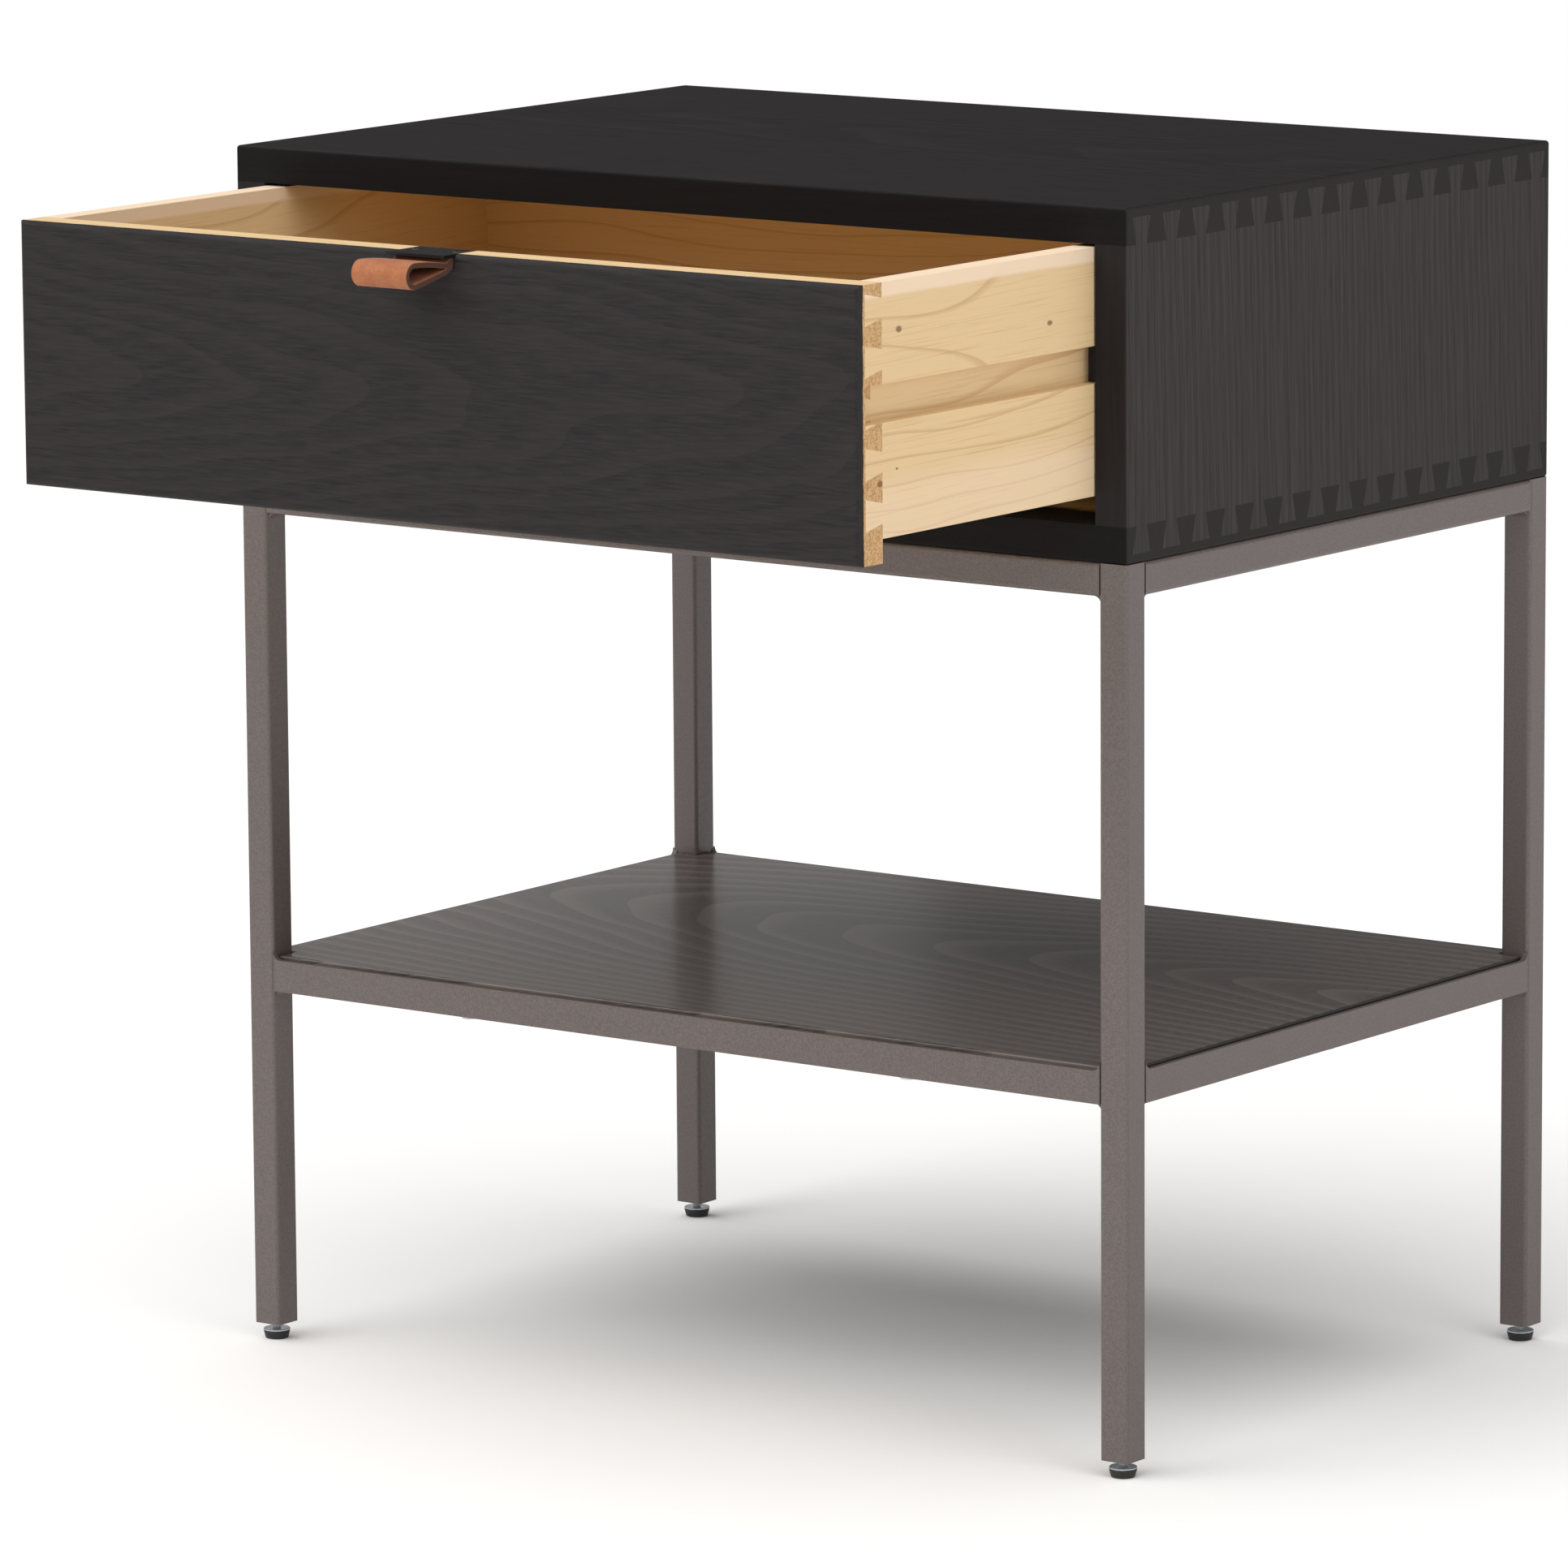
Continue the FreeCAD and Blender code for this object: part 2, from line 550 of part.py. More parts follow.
def build_drawer():
    """Front, two sides, back and plywood bottom."""
    front = place(drawer_front_body(), "0", DRAWER_Y, DRAWER_Z)
    holes = []
    for number, x in enumerate(pull_screw_places()):
        hole = small_hole("front_hole_%d" % number, "size.small_screw_bite")
        seat = "%s + size.drawer_height - %s" % (DRAWER_Z, NOTCH_DEEP)
        holes.append(place(hole, x, pull_screw_y(), seat, POINT_DOWN))
    node("drawer_front", cut("drawer_front_drilled", front, holes))

    side_z = "%s + %s" % (DRAWER_Z, SIDE_UP)
    left = place(drawer_side_body(), "-" + DRAWER_HALF, DRAWER_Y, side_z)
    node("drawer_side_left", left)
    node("drawer_side_right", mirrored("drawer_side_mirrored", left))

    back_half = "(%s - size.side_board + size.housing_depth)" % DRAWER_HALF
    back_y = "%s + size.drawer_length - size.side_board" % DRAWER_Y
    ply_z = "%s + size.ply_up" % side_z
    back_z = "%s + size.ply_board" % ply_z
    back = box("drawer_back_board", "2 * " + back_half, "size.side_board", "size.side_height - " + PLY_TOP)
    place(back, "-" + back_half, back_y, back_z)

    ply_half = "(%s - size.side_board + size.ply_groove - size.ply_play)" % DRAWER_HALF
    ply_front = "(size.front_board - size.ply_groove + size.ply_play)"
    ply = box("drawer_bottom_board", "2 * " + ply_half, "size.drawer_length - " + ply_front, "size.ply_board")
    place(ply, "-" + ply_half, "%s + %s" % (DRAWER_Y, ply_front), ply_z)

    recess = "(size.small_screw_head_thick + size.screw_clearance)"
    back_holes = []
    ply_holes = []
    screws = []
    for number, x in enumerate(("-" + back_half + " * 0.7", "0", back_half + " * 0.7")):
        y = "%s + size.side_board / 2" % back_y
        back_holes.append(place(small_hole("back_hole_%d" % number, "size.small_screw_bite"), x, y, back_z))
        ply_holes.append(place(small_hole("ply_hole_%d" % number, "size.ply_board"), x, y, ply_z))
        sunk = rod("ply_recess_%d" % number, "size.small_screw_head + size.screw_clearance", recess)
        ply_holes.append(place(sunk, x, y, ply_z))
        length = "size.ply_board - %s + size.small_screw_bite - size.screw_clearance" % recess
        screws.append(place(small_screw("ply_screw_%d" % number, length), x, y, "%s + %s" % (ply_z, recess)))
    node("drawer_back", cut("drawer_back_drilled", back, back_holes))
    node("drawer_bottom", cut("drawer_bottom_drilled", ply, ply_holes))
    node("drawer_bottom_screws", group("ply_screws", screws))


# ---------------------------------------------------------------- pull

def pull_screw_places():
    """x of the two pull screws."""
    return ("-size.pull_screw_span / 2", "size.pull_screw_span / 2")


def pull_screw_y():
    """y of the pull screws: the middle of the drawer front's thickness."""
    return "%s + size.front_board / 2" % DRAWER_Y


def strap_outline(radius, low, start):
    """A teardrop wire: level top edge, round nose, and a lower edge from the nose back to low.

    radius is that of the nose, low the height of the lower edge's back end, and start its y.
    """
    nose_radius = value("size.pull_height / 2")
    top = value("%s + size.drawer_height - size.plate_thick" % DRAWER_Z) - (nose_radius - radius)
    centre_y = value("%s - size.pull_reach" % DRAWER_Y) + nose_radius
    centre_z = top - radius
    reach = math.hypot(start - centre_y, low - centre_z)
    slope = math.atan2(low - centre_z, start - centre_y) - math.acos(radius / reach)

    def on_nose(angle):
        """A point of the nose."""
        return FreeCAD.Vector(0, centre_y + radius * math.cos(angle), centre_z + radius * math.sin(angle))

    back_low = FreeCAD.Vector(0, start, low)
    nose = Part.Arc(on_nose(math.pi / 2), on_nose(math.pi), on_nose(slope)).toShape()
    return back_low, nose, on_nose(math.pi / 2), on_nose(slope)


def strap_shape():
    """The folded strap: two plies in the notch, and a hollow loop in front of the drawer."""
    ply = value("size.strap_thick")
    width = value("size.strap_width")
    top = value("%s + size.drawer_height - size.plate_thick" % DRAWER_Z)
    face = value(DRAWER_Y)
    end = face + value("size.front_board")
    nose_radius = value("size.pull_height / 2")
    back_low, nose, upper, lower = strap_outline(nose_radius, top - 2 * ply, face)
    end_high = FreeCAD.Vector(0, end, top)
    end_low = FreeCAD.Vector(0, end, top - 2 * ply)
    outline = Part.Wire([
        Part.LineSegment(end_high, upper).toShape(),
        nose,
        Part.LineSegment(lower, back_low).toShape(),
        Part.LineSegment(back_low, end_low).toShape(),
        Part.LineSegment(end_low, end_high).toShape(),
    ])
    whole = Part.Face(outline).extrude(FreeCAD.Vector(width, 0, 0))
    split_y = face - ply
    tip, inner_nose, inner_upper, inner_lower = strap_outline(nose_radius - ply, top - ply, split_y)
    hollow = Part.Wire([
        Part.LineSegment(tip, inner_upper).toShape(),
        inner_nose,
        Part.LineSegment(inner_lower, tip).toShape(),
    ])
    loop = Part.Face(hollow).extrude(FreeCAD.Vector(width, 0, 0))
    strap = whole.cut(loop)
    strap.translate(FreeCAD.Vector(-width / 2, 0, 0))
    for x in pull_screw_places():
        radius = value("size.small_screw_shank + size.screw_clearance")
        at = FreeCAD.Vector(value(x), value(pull_screw_y()), top - 3 * ply)
        strap = strap.cut(Part.makeCylinder(radius, 4 * ply, at, Z_AXIS))
    return strap


def build_pull():
    """Leather strap, steel plate over its ends, and two screws."""
    strap = doc.addObject("Part::Feature", "strap")
    strap.Shape = strap_shape()
    node("pull_strap", strap)

    plate_half = "(size.pull_notch / 2 - size.plate_gap)"
    plate_top = "%s + size.drawer_height" % DRAWER_Z
    plate = box("plate_blank", "2 * " + plate_half, "size.front_board + size.plate_overhang", "size.plate_thick")
    place(plate, "-" + plate_half, "%s - size.plate_overhang" % DRAWER_Y, "%s - size.plate_thick" % plate_top)
    seat = "(%s + size.small_screw_proud - size.small_screw_head_thick)" % plate_top
    tip = "(%s - %s - size.small_screw_bite + size.screw_clearance)" % (plate_top, NOTCH_DEEP)
    holes = []
    screws = []
    for number, x in enumerate(pull_screw_places()):
        recess = rod("plate_recess_%d" % number, "size.small_screw_head + size.screw_clearance", "size.plate_thick")
        holes.append(place(recess, x, pull_screw_y(), seat))
        through = small_hole("plate_hole_%d" % number, "2 * size.plate_thick")
        holes.append(place(through, x, pull_screw_y(), "%s - 2 * size.plate_thick" % plate_top))
        length = "%s - %s" % (seat, tip)
        fixing = small_screw("pull_screw_%d" % number, length)
        screws.append(place(fixing, x, pull_screw_y(), seat, POINT_DOWN))
    node("pull_plate", cut("plate_drilled", plate, holes))
    node("pull_screws", group("pull_screw_pair", screws))


# ---------------------------------------------------------------- frame

def tube(name, role, length, start):
    """A square tube whose length runs out from one of its body's planes, starting at start."""
    body = doc.addObject("PartDesign::Body", name + "_body")
    outline = rectangle(body, name + "_outline", role, ("0", "0"), ("size.tube_side", "size.tube_side"), start)
    pad(body, outline, length)
    long_side = value(length)

    def corner(first, last):
        """The four long edges."""
        return near((first - last).Length, long_side)

    round_edges(body, "size.tube_round", corner)
    low = ("size.tube_wall", "size.tube_wall")
    high = ("size.tube_side - size.tube_wall", "size.tube_side - size.tube_wall")
    pocket(body, rectangle(body, name + "_hollow", role, low, high, start), length, True)
    return body


def rail_length(side):
    """Length of a rail or angle between two legs."""
    return ACROSS if side in ("front", "back") else ALONG


def place_rail(thing, side, level):
    """Stand a rail on its side of the frame, its outer plane flush with the legs."""
    angle, x, y = RAIL_SIDES[side]
    return place(thing, x, y, level, FreeCAD.Rotation(Z_AXIS, angle))


def build_legs():
    """Four full-height legs of square tube, and the threaded insert in the foot of each."""
    inserts = []
    for corner, (x, y) in LEG_CORNERS.items():
        name = "leg_" + corner
        leg = tube(name, "XY_Plane", "%s - %s" % (CASE_FLOOR, LEG_FOOT), "0")
        node(name, place(leg, x, y, LEG_FOOT))
        plug = box("insert_block_" + corner, TUBE_HOLLOW, TUBE_HOLLOW, "size.insert_height")
        place(plug, "%s + size.tube_wall" % x, "%s + size.tube_wall" % y, LEG_FOOT)
        bore = rod("insert_bore_" + corner, "size.foot_stem + size.foot_clearance", "size.insert_height")
        place(bore, "%s + size.tube_side / 2" % x, "%s + size.tube_side / 2" % y, LEG_FOOT)
        inserts.append(cut("insert_" + corner, plug, [bore]))
    node("foot_inserts", group("insert_set", inserts))


def build_top_rails():
    """Four tubes between the legs, flush with their tops, drilled for the screws into the case."""
    level = "(%s - size.tube_side)" % CASE_FLOOR
    screws = []
    for side in RAIL_SIDES:
        name = "top_rail_" + side
        length = rail_length(side)
        rail = place_rail(tube(name, "YZ_Plane", length, "-%s / 2" % length), side, level)
        holes = []
        for number, (x, y) in enumerate(rail_screw_places(side)):
            mark = "%s_%d" % (side, number)
            access = rod("rail_access_" + mark, "size.access_hole", "2 * size.tube_wall")
            holes.append(place(access, x, y, "%s - size.tube_wall" % level))
            holes.append(place(wood_hole("rail_hole_" + mark, "size.tube_side / 2"), x, y,
                               "%s - size.tube_side / 2" % CASE_FLOOR))
            fixing = wood_screw("case_screw_" + mark, "size.tube_wall + size.wood_screw_bite - size.screw_clearance")
            screws.append(place(fixing, x, y, "%s - size.tube_wall" % CASE_FLOOR))
        node(name, cut(name + "_drilled", rail, holes) if holes else rail)
    node("case_screws", group("case_screw_set", screws))


def angle_bar(name, length):
    """An angle with its upright leaf outside and its flat leaf inside, along its own X."""
    body = doc.addObject("PartDesign::Body", name + "_body")
    corners = [
        ("0", "0"),
        ("size.tube_side", "0"),
        ("size.tube_side", "size.angle_wall"),
        ("size.angle_wall", "size.angle_wall"),
        ("size.angle_wall", "size.tube_side"),
        ("0", "size.tube_side"),
    ]
    pad(body, polygon(body, name + "_outline", "YZ_Plane", corners, "-%s / 2" % length), length)
    return body


def shelf_screw_places(side):
    """(x, y) of the screws that go up through the middle of one side's flat leaf."""
    inset = "((size.tube_side + size.angle_wall) / 2)"
    quarter = "(size.table_width / 4)"
    if side == "front":
        y = "%s + %s" % (FRONT_Y, inset)
    elif side == "back":
        y = "%s - %s" % (BACK_Y, inset)
    else:
        sign = "-" if side == "left" else ""
        return [("%s(%s - %s)" % (sign, HALF_WIDTH, inset), MID_Y)]
    return [("-" + quarter, y), (quarter, y)]


def build_shelf():
    """Four angles between the legs, the board that lies in them, and its screws."""
    seat = "(size.angle_level + size.angle_wall)"
    board_holes = []
    screws = []
    for side in RAIL_SIDES:
        name = "shelf_angle_" + side
        angle = place_rail(angle_bar(name, rail_length(side)), side, "size.angle_level")
        holes = []
        for number, (x, y) in enumerate(shelf_screw_places(side)):
            mark = "%s_%d" % (side, number)
            holes.append(place(wood_hole("angle_hole_" + mark, "size.angle_wall"), x, y, "size.angle_level"))
            board_holes.append(place(wood_hole("shelf_hole_" + mark, "size.wood_screw_bite"), x, y, seat))
            fixing = wood_screw("shelf_screw_" + mark, "size.angle_wall + size.wood_screw_bite - size.screw_clearance")
            screws.append(place(fixing, x, y, "size.angle_level"))
        node(name, cut(name + "_drilled", angle, holes))
    node("shelf_screws", group("shelf_screw_set", screws))

    body = doc.addObject("PartDesign::Body", "shelf_body")
    wide = "(%s - size.angle_wall - size.shelf_play)" % HALF_WIDTH
    slim = "(%s - size.tube_side - size.shelf_play)" % HALF_WIDTH
    deep = "(size.table_depth / 2 - size.angle_wall - size.shelf_play)"
    short = "(size.table_depth / 2 - size.tube_side - size.shelf_play)"
    outline = [
        (wide, "-" + short), (wide, short), (slim, short), (slim, deep), ("-" + slim, deep), ("-" + slim, short),
        ("-" + wide, short), ("-" + wide, "-" + short), ("-" + slim, "-" + short), ("-" + slim, "-" + deep),
        (slim, "-" + deep), (slim, "-" + short),
    ]
    pad(body, polygon(body, "shelf_outline", "XY_Plane", outline), "size.shelf_board")
    thick = value("size.shelf_board")

    def upper(first, last):
        """The edges round the upper face."""
        return near(first.z, thick) and near(last.z, thick)

    round_edges(body, "size.shelf_round", upper)
    node("shelf_board", cut("shelf_drilled", place(body, "0", MID_Y, seat), board_holes))


def weld_bead(end, level, direction, low_y, high_y):
    """One hollow-faced bead in the corner between a rail and a leg.

    end is the rail's end along its own X, direction +1 for a bead over the rail and -1 for one under it.
    """
    size = value("size.weld_size")
    inward = -math.copysign(size, end)
    upward = direction * size
    corner = FreeCAD.Vector(end, low_y, level)
    along = corner + FreeCAD.Vector(inward, 0, 0)
    up = corner + FreeCAD.Vector(0, 0, upward)
    centre = corner + FreeCAD.Vector(inward, 0, upward)
    middle = centre - FreeCAD.Vector(inward, 0, upward) * math.sqrt(0.5)
    profile = Part.Wire([
        Part.LineSegment(up, corner).toShape(),
        Part.LineSegment(corner, along).toShape(),
        Part.Arc(along, middle, up).toShape(),
    ])
    return Part.Face(profile).extrude(FreeCAD.Vector(0, high_y - low_y, 0))


def build_welds():
    """Beads under both ends of every top rail, and under and over both ends of every shelf angle."""
    tube_side = value("size.tube_side")
    tube_round = value("size.tube_round")
    angle_wall = value("size.angle_wall")
    angle_level = value("size.angle_level")
    rail_level = value(CASE_FLOOR) - tube_side
    beads = []
    for side, (turn, x, y) in RAIL_SIDES.items():
        stand = FreeCAD.Placement(FreeCAD.Vector(value(x), value(y), 0), FreeCAD.Rotation(Z_AXIS, turn))
        half = value(rail_length(side)) / 2
        for end in (-half, half):
            pieces = [
                weld_bead(end, rail_level, -1, tube_round, tube_side - tube_round),
                weld_bead(end, angle_level, -1, tube_round, tube_side - tube_round),
                weld_bead(end, angle_level + tube_side, 1, 0, angle_wall),
            ]
            for bead in pieces:
                bead.Placement = stand
                beads.append(bead)
    welds = doc.addObject("Part::Feature", "beads")
    welds.Shape = Part.makeCompound(beads)
    node("weld_beads", welds)


# ---------------------------------------------------------------- feet

def build_feet():
    """A levelling foot in each leg: threaded stem with its flange, and the pad moulded under it."""
    for corner, (leg_x, leg_y) in LEG_CORNERS.items():
        x = "%s + size.tube_side / 2" % leg_x
        y = "%s + size.tube_side / 2" % leg_y
        flange = place(rod("flange_" + corner, "size.foot_pad_high", "size.foot_flange"), z="size.foot_pad_height")
        stem = rod("stem_" + corner, "size.foot_stem", "size.foot_stem_long")
        place(stem, z="size.foot_pad_height + size.foot_flange")
        whole = doc.addObject("Part::MultiFuse", "foot_" + corner)
        whole.Shapes = [flange, stem]
        node("foot_screw_" + corner, place(whole, x, y))
        rubber = doc.addObject("Part::Cone", "pad_" + corner)
        rubber.setExpression("Radius1", "size.foot_pad_low")
        rubber.setExpression("Radius2", "size.foot_pad_high")
        rubber.setExpression("Height", "size.foot_pad_height")
        node("foot_pad_" + corner, place(rubber, x, y))


# ---------------------------------------------------------------- build, check and write

def check_document():
    """Stop if any object failed or any sub-part has no sound solid."""
    for thing in doc.Objects:
        if "Invalid" in thing.State or "Error" in thing.State:
            raise RuntimeError("%s is %s" % (thing.Name, thing.State))
    for name, thing in NODES.items():
        shape = thing.Shape
        if shape.isNull() or not shape.isValid() or not shape.Solids:
            raise RuntimeError("%s has no sound solid" % name)


def write_parts():
    """One STEP file for each node."""
    os.makedirs("parts", exist_ok=True)
    for name, thing in NODES.items():
        thing.Shape.exportStep("parts/%s.step" % name)


build_case()
build_runners()
build_drawer()
build_pull()
build_legs()
build_top_rails()
build_shelf()
build_welds()
build_feet()
doc.recompute()
check_document()
write_parts()
print("%d nodes written" % len(NODES))
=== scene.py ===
import math

import bpy
from mathutils import Euler, Matrix, Vector


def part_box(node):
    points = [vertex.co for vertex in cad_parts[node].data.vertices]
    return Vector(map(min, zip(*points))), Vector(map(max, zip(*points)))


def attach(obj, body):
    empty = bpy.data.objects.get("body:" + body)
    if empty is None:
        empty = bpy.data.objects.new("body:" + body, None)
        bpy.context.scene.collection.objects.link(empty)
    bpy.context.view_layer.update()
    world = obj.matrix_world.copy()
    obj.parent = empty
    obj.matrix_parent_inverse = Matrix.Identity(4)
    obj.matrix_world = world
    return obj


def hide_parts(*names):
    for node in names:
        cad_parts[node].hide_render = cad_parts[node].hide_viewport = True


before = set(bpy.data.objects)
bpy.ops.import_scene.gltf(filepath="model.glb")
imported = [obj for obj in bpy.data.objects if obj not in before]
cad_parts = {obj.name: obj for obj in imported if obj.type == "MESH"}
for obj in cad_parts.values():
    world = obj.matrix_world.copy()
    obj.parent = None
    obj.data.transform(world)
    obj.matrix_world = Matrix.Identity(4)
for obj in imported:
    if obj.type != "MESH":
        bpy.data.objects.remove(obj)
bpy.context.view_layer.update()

bl_info = {
    "name": "Side Table with Drawer",
    "version": (1, 0, 0),
    "blender": (4, 5, 0),
    "location": "View3D > Sidebar > Side Table",
    "description": "Finishes a side table: stained and natural wood, powder-coated frame, leather pull",
    "category": "Object",
}

MM = 0.001
DRAWER_LOW, DRAWER_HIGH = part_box("drawer_front")
CASE_TOP_LOW, CASE_TOP_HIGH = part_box("case_top")
CASE_FLOOR_LOW, CASE_FLOOR_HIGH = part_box("case_bottom")
STRAP_LOW, STRAP_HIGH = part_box("pull_strap")
PLATE_LOW, PLATE_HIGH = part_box("pull_plate")
CORNERS = ("front_left", "front_right", "back_left", "back_right")
SMALLEST = 1e-6


# ---------------------------------------------------------------- settings

class WoodSettings(bpy.types.PropertyGroup):
    """Colours and figure of the two woods."""
    wash: bpy.props.StringProperty(
        name="Black wash", description="Colour of the washed case, as sRGB hex", default="191617")
    wash_light: bpy.props.StringProperty(
        name="Washed fibres", description="Colour of the paler fibres in the wash, as sRGB hex", default="302b2c")
    wash_end: bpy.props.StringProperty(
        name="Washed end grain", description="Colour of washed end grain, as sRGB hex", default="2c2828")
    # painted shade: the colour that darkens the case boards' front-facing edges
    shaded_edge_wash: bpy.props.StringProperty(
        name="Washed edges", description="Colour of the case boards' front edges, as sRGB hex", default="0e0c0c")
    # painted shade: a darker copy of the wash for the lying boards, where the light from above falls strongest
    shaded_top_wash: bpy.props.StringProperty(
        name="Top wash", description="Colour of the lying case boards, as sRGB hex", default="100e0f")
    shaded_top_fibres: bpy.props.StringProperty(
        name="Top fibres", description="Colour of the lying case boards' fibres, as sRGB hex", default="292526")
    # painted light: a lighter copy of the wash for the upright case sides
    lit_side_wash: bpy.props.StringProperty(
        name="Side wash", description="Colour of the case sides, as sRGB hex", default="262223")
    lit_side_fibres: bpy.props.StringProperty(
        name="Side fibres", description="Colour of the case sides' fibres, as sRGB hex", default="423d3e")
    poplar: bpy.props.StringProperty(
        name="Poplar", description="Colour of the pale early wood, as sRGB hex", default="dfc193")
    poplar_late: bpy.props.StringProperty(
        name="Late wood", description="Colour of the ring lines, as sRGB hex", default="c39d6c")
    poplar_sap: bpy.props.StringProperty(
        name="Sapwood", description="Colour of the pinkish sapwood, as sRGB hex", default="efd6bb")
    poplar_pores: bpy.props.StringProperty(
        name="Poplar pores", description="Colour of the darker patches of natural end grain, as sRGB hex",
        default="a87c4e")
    shelf_wash: bpy.props.StringProperty(
        name="Shelf wash", description="Colour of the washed shelf, as sRGB hex", default="231d1b")
    shelf_wash_light: bpy.props.StringProperty(
        name="Shelf fibres", description="Colour of the shelf's paler fibres, as sRGB hex", default="6a5f59")
    poplar_end: bpy.props.StringProperty(
        name="Poplar end grain", description="Colour of natural end grain, as sRGB hex", default="cfaa7b")
    knot: bpy.props.StringProperty(
        name="Knot", description="Colour of a pin knot, as sRGB hex", default="7d5534")
    ring_spacing: bpy.props.FloatProperty(
        name="Ring spacing", description="Distance between growth rings", default=5.5 * MM, unit="LENGTH")
    fibre_width: bpy.props.FloatProperty(
        name="Fibre width", description="Width of a visible fibre streak", default=0.9 * MM, unit="LENGTH")
    bare_depth: bpy.props.FloatProperty(
        name="Stain depth", description="How far the black reaches into the case from its front edge",
        default=42 * MM, unit="LENGTH")
    face_stain: bpy.props.FloatProperty(
        name="Face stain", description="How far the black reaches round the drawer front's edges",
        default=3.4 * MM, unit="LENGTH")


class MetalSettings(bpy.types.PropertyGroup):
    """Finishes of the steel parts."""
    powder: bpy.props.StringProperty(
        name="Powder coat", description="Colour of the frame, as sRGB hex", default="685e5b")
    powder_dark: bpy.props.StringProperty(
        name="Powder coat, darker", description="Colour of its darker mottling, as sRGB hex", default="5c5350")
    zinc: bpy.props.StringProperty(
        name="Zinc", description="Colour of the zinc plate, as sRGB hex", default="ced3d7")
    oxide: bpy.props.StringProperty(
        name="Black oxide", description="Colour of the pull plate, as sRGB hex", default="141211")
    grit: bpy.props.FloatProperty(
        name="Powder grit", description="Size of the coat's fine grain", default=0.6 * MM, unit="LENGTH")
    thread_pitch: bpy.props.FloatProperty(
        name="Thread pitch", description="Pitch of the feet's threads", default=0.8 * MM, unit="LENGTH")


class LeatherSettings(bpy.types.PropertyGroup):
    """The pull's strap."""
    tan: bpy.props.StringProperty(
        name="Tan", description="Colour of the nubbed face, as sRGB hex", default="985730")
    tan_worn: bpy.props.StringProperty(
        name="Worn tan", description="Colour where it is rubbed, as sRGB hex", default="ac6b41")
    edge: bpy.props.StringProperty(
        name="Cut edge", description="Colour of the cut edges, as sRGB hex", default="4c2c1d")
    nap: bpy.props.FloatProperty(
        name="Nap", description="Size of the leather's fine nap", default=0.5 * MM, unit="LENGTH")
    thickness: bpy.props.FloatProperty(
        name="Thickness", description="Thickness of one ply", default=2.75 * MM, unit="LENGTH")
    softness: bpy.props.FloatProperty(
        name="Edge rounding", description="Rounding of the cut edges", default=0.45 * MM, unit="LENGTH")


class StageSettings(bpy.types.PropertyGroup):
    """Floor, lights and camera."""
    floor: bpy.props.StringProperty(
        name="Floor", description="Colour of the floor, as sRGB hex", default="fbfaf9")
    sky: bpy.props.FloatProperty(name="Sky", description="Strength of the white surroundings", default=0.15)
    top: bpy.props.FloatProperty(
        name="Top light", description="Strength of the wide soft light from above", default=3.2)
    key: bpy.props.FloatProperty(
        name="Key light", description="Power of the large light in front on the left", default=30, unit="POWER")
    side: bpy.props.FloatProperty(
        name="Side light", description="Power of the light on the right", default=30, unit="POWER")
    back: bpy.props.FloatProperty(
        name="Back light", description="Power of the low strip behind, which the shelf mirrors", default=3.0,
        unit="POWER")
    camera_place: bpy.props.FloatVectorProperty(
        name="Camera", description="Where the camera stands", default=(2.964, -3.996, 1.1635), subtype="TRANSLATION")
    camera_yaw: bpy.props.FloatProperty(
        name="Yaw", description="Turn of the view from +Y towards -X", default=0.636, subtype="ANGLE")
    camera_pitch: bpy.props.FloatProperty(
        name="Pitch", description="Tilt of the view over the horizon", default=-0.1679, subtype="ANGLE")
    camera_roll: bpy.props.FloatProperty(
        name="Roll", description="Roll of the camera", default=-0.0067, subtype="ANGLE")
    camera_lens: bpy.props.FloatProperty(
        name="Lens", description="Focal length on a 36 mm sensor, in millimetres", default=220.6)


# ---------------------------------------------------------------- helpers

def linear(hex_colour):
    """An sRGB hex colour as linear red, green, blue and alpha."""
    channels = [int(hex_colour[i:i + 2], 16) / 255 for i in (0, 2, 4)]
    return [c / 12.92 if c <= 0.04045 else ((c + 0.055) / 1.055) ** 2.4 for c in channels] + [1.0]


def add(tree, kind, links=None, values=None, **settings):
    """Add a node, set its own settings and plain values, and link its inputs from other sockets."""
    made = tree.nodes.new(kind)
    for name, setting in settings.items():
        setattr(made, name, setting)
    for socket, number in (values or {}).items():
        made.inputs[socket].default_value = number
    for socket, source in (links or {}).items():
        tree.links.new(source, made.inputs[socket])
    return made


def ramp(tree, source, stops):
    """A colour ramp through (position, linear colour) stops."""
    made = add(tree, "ShaderNodeValToRGB", {"Fac": source})
    elements = made.color_ramp.elements
    while len(elements) < len(stops):
        elements.new(0.5)
    for element, (position, colour) in zip(elements, stops):
        element.position = position
        element.color = colour
    return made.outputs["Color"]


def level(tree, source, low, high):
    """A smooth 0 to 1 between two values of the source."""
    values = {"From Min": low, "From Max": high}
    made = add(tree, "ShaderNodeMapRange", {"Value": source}, values, interpolation_type="SMOOTHSTEP")
    return made.outputs["Result"]


def maths(tree, operation, first, second=None):
    """One Math node; either input may be a socket or a number."""
    made = add(tree, "ShaderNodeMath", operation=operation)
    for index, source in enumerate((first, second)):
        if source is None:
            continue
        if isinstance(source, (int, float)):
            made.inputs[index].default_value = source
        else:
            tree.links.new(source, made.inputs[index])
    return made.outputs[0]


def blended(tree, share, first, second, how="MIX"):
    """Mix two colours; each may be a socket or a linear colour, and the share a socket or a number."""
    made = add(tree, "ShaderNodeMix", data_type="RGBA", blend_type=how)
    for name, source in (("Factor", share), ("A", first), ("B", second)):
        socket = next(s for s in made.inputs if s.name == name and s.enabled)
        if isinstance(source, (int, float, list)):
            socket.default_value = source
        else:
            tree.links.new(source, socket)
    return next(s for s in made.outputs if s.enabled)


def new_material(name):
    """An empty material with its output and shader."""
    material = bpy.data.materials.new(name)
    material.use_nodes = True
    tree = material.node_tree
    shader = tree.nodes["Principled BSDF"]
    return material, tree, shader


